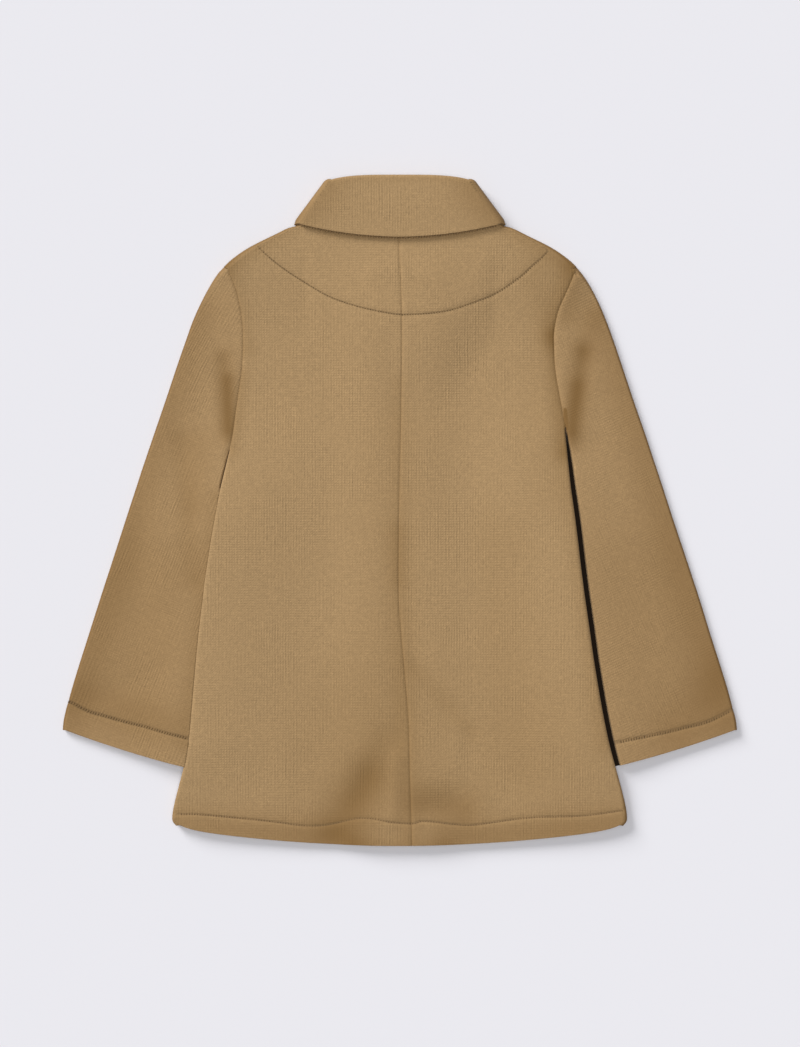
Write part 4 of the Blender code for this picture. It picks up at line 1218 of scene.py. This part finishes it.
def stitch_piece(name, stitches, length):
    """Small rounded threads, each half sunk in the cloth."""
    settings = bpy.context.scene.coat_stitching
    mesh = bmesh.new()
    for stitch in stitches:
        place = (Matrix.Translation(Vector((stitch.x, stitch.y, stitch.z)) * MM)
                 @ Matrix.Rotation(stitch.angle, 4, "Z")
                 @ Matrix.Diagonal((length * MM / 2, settings.thread / 2, settings.thread / 2, 1)))
        bmesh.ops.create_uvsphere(mesh, u_segments=8, v_segments=5, radius=1.0, matrix=place)
    piece = new_object(name, mesh)
    piece.data.materials.append(thread_material(name + "_thread", settings.thread_colour))
    return piece


# a line of stitches from start to end, on the surface that top gives; across: at right angles
# to the line
Row = namedtuple("Row", "name slot line start end top length across")
STITCH_LEAN = 0.2      # radians from a right angle
STITCH_SINK = 0.25     # how far a stitch is sunk below the surface


def back_top(x, y):
    """Upper surface of the back beside its stitching."""
    return back_middle(x, y) + CLOTH / 2


def sleeve_top(side, x, y):
    return 2 * CLOTH + sleeve_room(side, x, y)


def rim_line():
    """Line just inside the lower edge of the collar's leaf, across the back."""
    places = [place for place in collar_places() if place.angle == 90.0]
    rim = [collar_spot(place, COLLAR_ROWS) for place in places[::4]]
    return Curve([(spot.x, spot.y + RIM_INSET) for spot in rim])


def rim_top(x, y):
    """Height of the stitches that go over the leaf's edge."""
    return COLLAR_LEVEL + LEAF_REACH - LEAF_DROOP + COLLAR_WALL * RIM_HEIGHT


# ---- materials ----------------------------------------------------------------------
def calculate(tree, operation, first, second=None, third=None):
    """A Math node; each of its inputs is a number or another node's output."""
    node = tree.nodes.new("ShaderNodeMath")
    node.operation = operation
    for socket, value in zip(node.inputs, (first, second, third)):
        if isinstance(value, (int, float)):
            socket.default_value = value
        elif value is not None:
            tree.links.new(value, socket)
    return node.outputs[0]


def cloud(tree, where, scale, detail=2.0):
    """Soft noise from 0 to 1; scale counts its patches in a metre."""
    node = tree.nodes.new("ShaderNodeTexNoise")
    node.inputs["Scale"].default_value = scale
    node.inputs["Detail"].default_value = detail
    tree.links.new(where, node.inputs["Vector"])
    return node.outputs[0]


def blend_colours(tree, share, first, second):
    """A Mix node for colours; each input is a colour or another node's output."""
    node = tree.nodes.new("ShaderNodeMix")
    node.data_type = "RGBA"
    tree.links.new(share, node.inputs[0])
    for socket, value in ((node.inputs[6], first), (node.inputs[7], second)):
        if isinstance(value, bpy.types.NodeSocket):
            tree.links.new(value, socket)
        else:
            socket.default_value = value
    return node.outputs[2]


def attribute(tree, name):
    node = tree.nodes.new("ShaderNodeAttribute")
    node.attribute_name = name
    return node.outputs["Fac"]


def uneven(tree, where, scale, detail=2.0):
    """Soft noise around 0."""
    return calculate(tree, "SUBTRACT", cloud(tree, where, scale, detail), 0.5)


def weighted(tree, start, parts):
    """The start plus each output times its weight."""
    for output, weight in parts:
        start = calculate(tree, "MULTIPLY_ADD", output, weight, start)
    return start


def eased(tree, value, start, end):
    """0 before start and 1 after end, softly; start may be the higher one."""
    node = tree.nodes.new("ShaderNodeMapRange")
    node.interpolation_type = "SMOOTHSTEP"
    node.inputs["From Min"].default_value = start
    node.inputs["From Max"].default_value = end
    tree.links.new(value, node.inputs["Value"])
    return node.outputs[0]


def mottle(tree, where, scale, start, end, detail=2.0):
    """Spots of 1 between 0, with soft edges; the nearer start and end are, the harder."""
    return eased(tree, cloud(tree, where, scale, detail), start, end)


def roughen(tree, shader, height, distance):
    """Give a shader relief."""
    relief = tree.nodes.new("ShaderNodeBump")
    relief.inputs["Distance"].default_value = distance
    tree.links.new(height, relief.inputs["Height"])
    tree.links.new(relief.outputs[0], shader.inputs["Normal"])


PAINTED_SHADE_SHARES = (0.55, 0.47, 0.31)   # red, green and blue shares of the darkest painted shade
ODD_WALES = 0.72                   # ribs of a second, wider pitch run between the even ones
RIB_WANDER = 0.0012                # how far ribs and rows wander from straight lines, in metres
ROW_WANDER = 0.0009
ROW_LEAN = 0.8                     # how far a row's loops lean, in radians of its pitch
FIBRE_RELIEF = 0.0001              # relief of a thread's fibres, in metres


def shaded(colour, share):
    return tuple(value * share for value in colour[:3]) + (1.0,)


def cloth_shader(name, roughness, sheen):
    material = bpy.data.materials.new(name)
    material.use_nodes = True
    shader = material.node_tree.nodes["Principled BSDF"]
    shader.inputs["Roughness"].default_value = roughness
    shader.inputs["Specular IOR Level"].default_value = 0.25
    shader.inputs["Sheen Weight"].default_value = sheen
    shader.inputs["Sheen Roughness"].default_value = 0.55
    shader.inputs["Sheen Tint"].default_value = (1.0, 0.90, 0.76, 1.0)
    return material, shader


def knit_material(name, colour):
    """Fine ribbed knit: ribs along the flat cloth's v, crossed by the rows of its stitches; its
    colour also carries painted shade.
    """
    knit = bpy.context.scene.coat_knit
    material, shader = cloth_shader(name, 0.9, 0.12)
    tree = material.node_tree
    place = tree.nodes.new("ShaderNodeTexCoord").outputs["Object"]
    flat = tree.nodes.new("ShaderNodeUVMap")
    flat.uv_map = "grain"
    axes = tree.nodes.new("ShaderNodeSeparateXYZ")
    tree.links.new(flat.outputs["UV"], axes.inputs[0])

    wander = uneven(tree, place, 70)
    across = calculate(tree, "MULTIPLY_ADD", wander, RIB_WANDER, axes.outputs["X"])
    along = calculate(tree, "MULTIPLY_ADD", wander, ROW_WANDER, axes.outputs["Y"])
    wale_turn = calculate(tree, "MULTIPLY", across, 2 * math.pi / knit.wale_pitch)
    wale = calculate(tree, "COSINE", wale_turn)
    half_turn = calculate(tree, "MULTIPLY", wale_turn, 0.5)
    lean = calculate(tree, "ABSOLUTE", calculate(tree, "SINE", half_turn))
    course_turn = calculate(tree, "MULTIPLY", along, 2 * math.pi / knit.course_pitch)
    course = calculate(tree, "COSINE", calculate(tree, "MULTIPLY_ADD", lean, ROW_LEAN, course_turn))
    ribs = calculate(tree, "MULTIPLY", wale, mottle(tree, place, 24, 0.35, 0.75))
    rows = calculate(tree, "MULTIPLY", course, mottle(tree, place, 31, 0.3, 0.7))
    crossings = calculate(tree, "MULTIPLY", wale, course)
    odd_turn = calculate(tree, "MULTIPLY", wale_turn, ODD_WALES)
    odd_ribs = calculate(tree, "MULTIPLY", calculate(tree, "COSINE", odd_turn),
                         mottle(tree, place, 38, 0.35, 0.7))
    ribs = weighted(tree, ribs, ((odd_ribs, 0.7),))
    dashes = mottle(tree, place, 300, 0.30, 0.62, 1.0)
    ribs = calculate(tree, "MULTIPLY", ribs, calculate(tree, "MULTIPLY_ADD", dashes, 0.9, 0.25))
    loops = weighted(tree, ribs, ((rows, 0.55), (crossings, 0.4)))

    grit = uneven(tree, place, 1000, 3.0)
    melange = uneven(tree, place, 280, 3.0)
    patches = uneven(tree, place, 9)
    flecks = mottle(tree, place, 620, 0.62, 0.74, 1.0)
    tone = weighted(tree, 0.5, ((loops, 0.085), (grit, 1.1), (melange, 0.5), (patches, 0.07),
                                (flecks, 0.34)))
    tone_ends = eased(tree, tone, 0.0, 1.0)
    cloth = blend_colours(tree, tone_ends, shaded(colour, 0.80), shaded(colour, 1.20))
    # painted shade from the tone attribute: darker and more saturated in creases, along seams, on
    # rolled edges and towards the hem
    deep = tuple(value * share for value, share in zip(colour, PAINTED_SHADE_SHARES)) + (1.0,)
    cloth = blend_colours(tree, attribute(tree, "tone"), cloth, deep)

    # painted shade along each line of stitching, in patches: the cloth darkens towards a third of
    # its colour in the stitches' dip
    beside = calculate(tree, "ABSOLUTE", attribute(tree, "band"))
    band = eased(tree, beside, 1.35, 0.55)
    shade_patches = mottle(tree, place, 60, 0.3, 0.6)
    sewn = calculate(tree, "MULTIPLY", band, calculate(tree, "MULTIPLY_ADD", shade_patches, 0.22, 0.20))
    cloth = blend_colours(tree, sewn, cloth, shaded(colour, 0.32))
    # painted shade: the slit between the body and the right sleeve is painted near black
    gap = eased(tree, attribute(tree, "gap"), 0.35, -0.35)
    cloth = blend_colours(tree, gap, cloth, knit.slit_shade_colour)
    tree.links.new(cloth, shader.inputs["Base Color"])

    height = weighted(tree, loops, ((grit, 1.1), (band, -1.5)))
    roughen(tree, shader, height, knit.relief)
    return material


def thread_material(name, colour):
    """Spun thread, uneven in colour."""
    material, shader = cloth_shader(name, 0.8, 0.1)
    tree = material.node_tree
    place = tree.nodes.new("ShaderNodeTexCoord").outputs["Object"]
    spun = blend_colours(tree, mottle(tree, place, 420, 0.3, 0.7), shaded(colour, 0.72),
                         shaded(colour, 1.25))
    tree.links.new(spun, shader.inputs["Base Color"])
    roughen(tree, shader, cloud(tree, place, 2600), FIBRE_RELIEF)
    return material


def floor_material(colour):
    """Matt pale paper."""
    material = bpy.data.materials.new("pale_floor")
    material.use_nodes = True
    tree = material.node_tree
    shader = tree.nodes["Principled BSDF"]
    shader.inputs["Roughness"].default_value = 1.0
    shader.inputs["Specular IOR Level"].default_value = 0.0
    shader.inputs["Base Color"].default_value = colour
    return material


# ---- operators ----------------------------------------------------------------------
# flat size in metres, and area in square metres, that a piece was cut to
Cut = namedtuple("Cut", "flat area")


def settle(piece, node):
    """Tie a cloth piece to the frame and hide the solid that it stands for."""
    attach(piece, "root")
    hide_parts(node)


class COAT_OT_fronts(bpy.types.Operator):
    """Make the two front panels that the back lies on."""
    bl_idname = "coat.fronts"
    bl_label = "Fronts"

    def execute(self, context):
        for side in SIDES:
            piece = body_panel("cloth_front_" + side.name, side, True,
                               context.scene.coat_knit.body_colour)
            settle(piece, "front_" + side.name)
        return {"FINISHED"}


class COAT_OT_backs(bpy.types.Operator):
    """Make the two back panels with their centre seam, facing and hem."""
    bl_idname = "coat.backs"
    bl_label = "Backs"

    def execute(self, context):
        for side in SIDES:
            piece = body_panel("cloth_back_" + side.name, side, False,
                               context.scene.coat_knit.body_colour)
            settle(piece, "back_" + side.name)
        return {"FINISHED"}


class COAT_OT_sleeves(bpy.types.Operator):
    """Make the two flared sleeves."""
    bl_idname = "coat.sleeves"
    bl_label = "Sleeves"

    def execute(self, context):
        for side in SIDES:
            piece = sleeve("cloth_sleeve_" + side.name, side,
                           context.scene.coat_knit.sleeve_colour)
            settle(piece, "sleeve_" + side.name)
        return {"FINISHED"}


class COAT_OT_collar(bpy.types.Operator):
    """Make the turned-down collar."""
    bl_idname = "coat.collar"
    bl_label = "Collar"

    def execute(self, context):
        piece = collar("cloth_collar", context.scene.coat_knit.collar_colour)
        settle(piece, "collar")
        return {"FINISHED"}


class COAT_OT_stitching(bpy.types.Operator):
    """Sew the facing, collar, hem and cuffs with visible stitches."""
    bl_idname = "coat.stitching"
    bl_label = "Stitching"

    def execute(self, context):
        settings = context.scene.coat_stitching
        step = settings.pitch / MM
        rows = (
            Row("facing_stitches", "body_knit", FACING_LINE, -122, 84, back_top, 1.3, False),
            Row("facing_end_stitches", "body_knit", FACING_LINE, 84, 126, back_top, 1.9, True),
            Row("hem_end_stitches", "body_knit", HEM_LINE, -188, -112, back_top, 1.9, True),
            Row("hem_stitches", "body_knit", HEM_LINE, -112, 192, back_top, 1.2, False),
            Row("collar_stitches", "collar_knit", rim_line(), -84, 84, rim_top, 2.6, True),
            Row("cuff_stitches_left", "sleeve_knit", CUFF_LINE["left"], -285, -184,
                lambda x, y: sleeve_top(LEFT, x, y), 2.9, True),
            Row("cuff_stitches_right", "sleeve_knit", CUFF_LINE["right"], 190, 284,
                lambda x, y: sleeve_top(RIGHT, x, y), 2.9, True),
        )
        for row in rows:
            turn = math.pi / 2 - STITCH_LEAN if row.across else 0.0
            stitches = [Stitch(x, y, row.top(x, y) - STITCH_SINK, angle + turn)
                        for x, y, angle in line_points(row.line, row.start, row.end, step)]
            piece = stitch_piece(row.name, stitches, row.length)
            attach(piece, "root")
        return {"FINISHED"}


FLOOR_HALF = 6.0       # half the floor's width, in metres
FLOOR_DROP = 0.0002    # room below the coat, so that the two never meet
KEY_WAY = (0.69, -0.72, -0.466)    # from the upper left, low over the coat
KEY_SPREAD = 27
TOP_WAY = (0.0, 0.0, -1.0)
TOP_SPREAD = 36
SKY_COLOUR = (0.97, 0.98, 1.0, 1.0)
VIEW_X = 0.0001        # point under the camera
VIEW_Y = -0.0113
VIEW_LEVEL = 0.008     # height above the floor at which the picture shows the frame's height


def soft_light(name, strength, spread, towards):
    """A far light whose disc is spread degrees wide, shining along towards."""
    light = bpy.data.lights.new(name, "SUN")
    light.energy = strength
    light.angle = math.radians(spread)
    lamp = bpy.data.objects.new(name, light)
    bpy.context.scene.collection.objects.link(lamp)
    lamp.rotation_euler = Vector(towards).to_track_quat("-Z", "Y").to_euler()


class COAT_OT_studio(bpy.types.Operator):
    """Lay the pale floor, set the lights and hang the camera over the coat."""
    bl_idname = "coat.studio"
    bl_label = "Studio"

    def execute(self, context):
        scene, studio = context.scene, context.scene.coat_studio
        mesh = bmesh.new()
        bmesh.ops.create_grid(mesh, x_segments=1, y_segments=1, size=FLOOR_HALF)
        bmesh.ops.translate(mesh, verts=mesh.verts, vec=(0, 0, -FLOOR_DROP))
        floor = new_object("floor", mesh)
        floor.data.materials.append(floor_material(tuple(studio.floor_colour)))

        soft_light("key", studio.key_strength, KEY_SPREAD, KEY_WAY)
        soft_light("top", studio.top_strength, TOP_SPREAD, TOP_WAY)

        world = bpy.data.worlds.new("studio")
        scene.world = world
        world.use_nodes = True
        sky = world.node_tree.nodes["Background"]
        sky.inputs["Color"].default_value = SKY_COLOUR
        sky.inputs["Strength"].default_value = studio.fill_strength

        lens = bpy.data.cameras.new("camera")
        lens.lens = studio.lens
        camera = bpy.data.objects.new("camera", lens)
        scene.collection.objects.link(camera)
        distance = studio.frame_height * studio.lens / lens.sensor_width
        camera.location = (VIEW_X, VIEW_Y, distance + VIEW_LEVEL)
        scene.camera = camera
        scene.view_settings.view_transform = "Standard"
        return {"FINISHED"}


class COAT_PT_panel(bpy.types.Panel):
    """Settings and steps of the coat."""
    bl_idname = "COAT_PT_panel"
    bl_label = "Bell-sleeve coat"
    bl_space_type = "VIEW_3D"
    bl_region_type = "UI"
    bl_category = "Coat"

    def draw(self, context):
        for group in SETTINGS:
            settings = getattr(context.scene, group)
            for name in settings.bl_rna.properties.keys():
                if name not in ("rna_type", "name"):
                    self.layout.prop(settings, name)
        for operator in OPERATORS:
            self.layout.operator(operator.bl_idname)


SETTINGS = {
    "coat_drape": CoatDrape,
    "coat_knit": CoatKnit,
    "coat_stitching": CoatStitching,
    "coat_studio": CoatStudio,
}
OPERATORS = (COAT_OT_studio, COAT_OT_fronts, COAT_OT_sleeves, COAT_OT_backs, COAT_OT_collar,
             COAT_OT_stitching)


def register():
    for group in SETTINGS.values():
        bpy.utils.register_class(group)
    for operator in OPERATORS:
        bpy.utils.register_class(operator)
    bpy.utils.register_class(COAT_PT_panel)
    for name, group in SETTINGS.items():
        setattr(bpy.types.Scene, name, PointerProperty(type=group))


def unregister():
    for name in SETTINGS:
        delattr(bpy.types.Scene, name)
    bpy.utils.unregister_class(COAT_PT_panel)
    for made in reversed((*SETTINGS.values(), *OPERATORS)):
        bpy.utils.unregister_class(made)


def main():
    register()
    for operator in OPERATORS:
        group, step = operator.bl_idname.split(".")
        getattr(getattr(bpy.ops, group), step)()


if __name__ == "__main__":
    main()
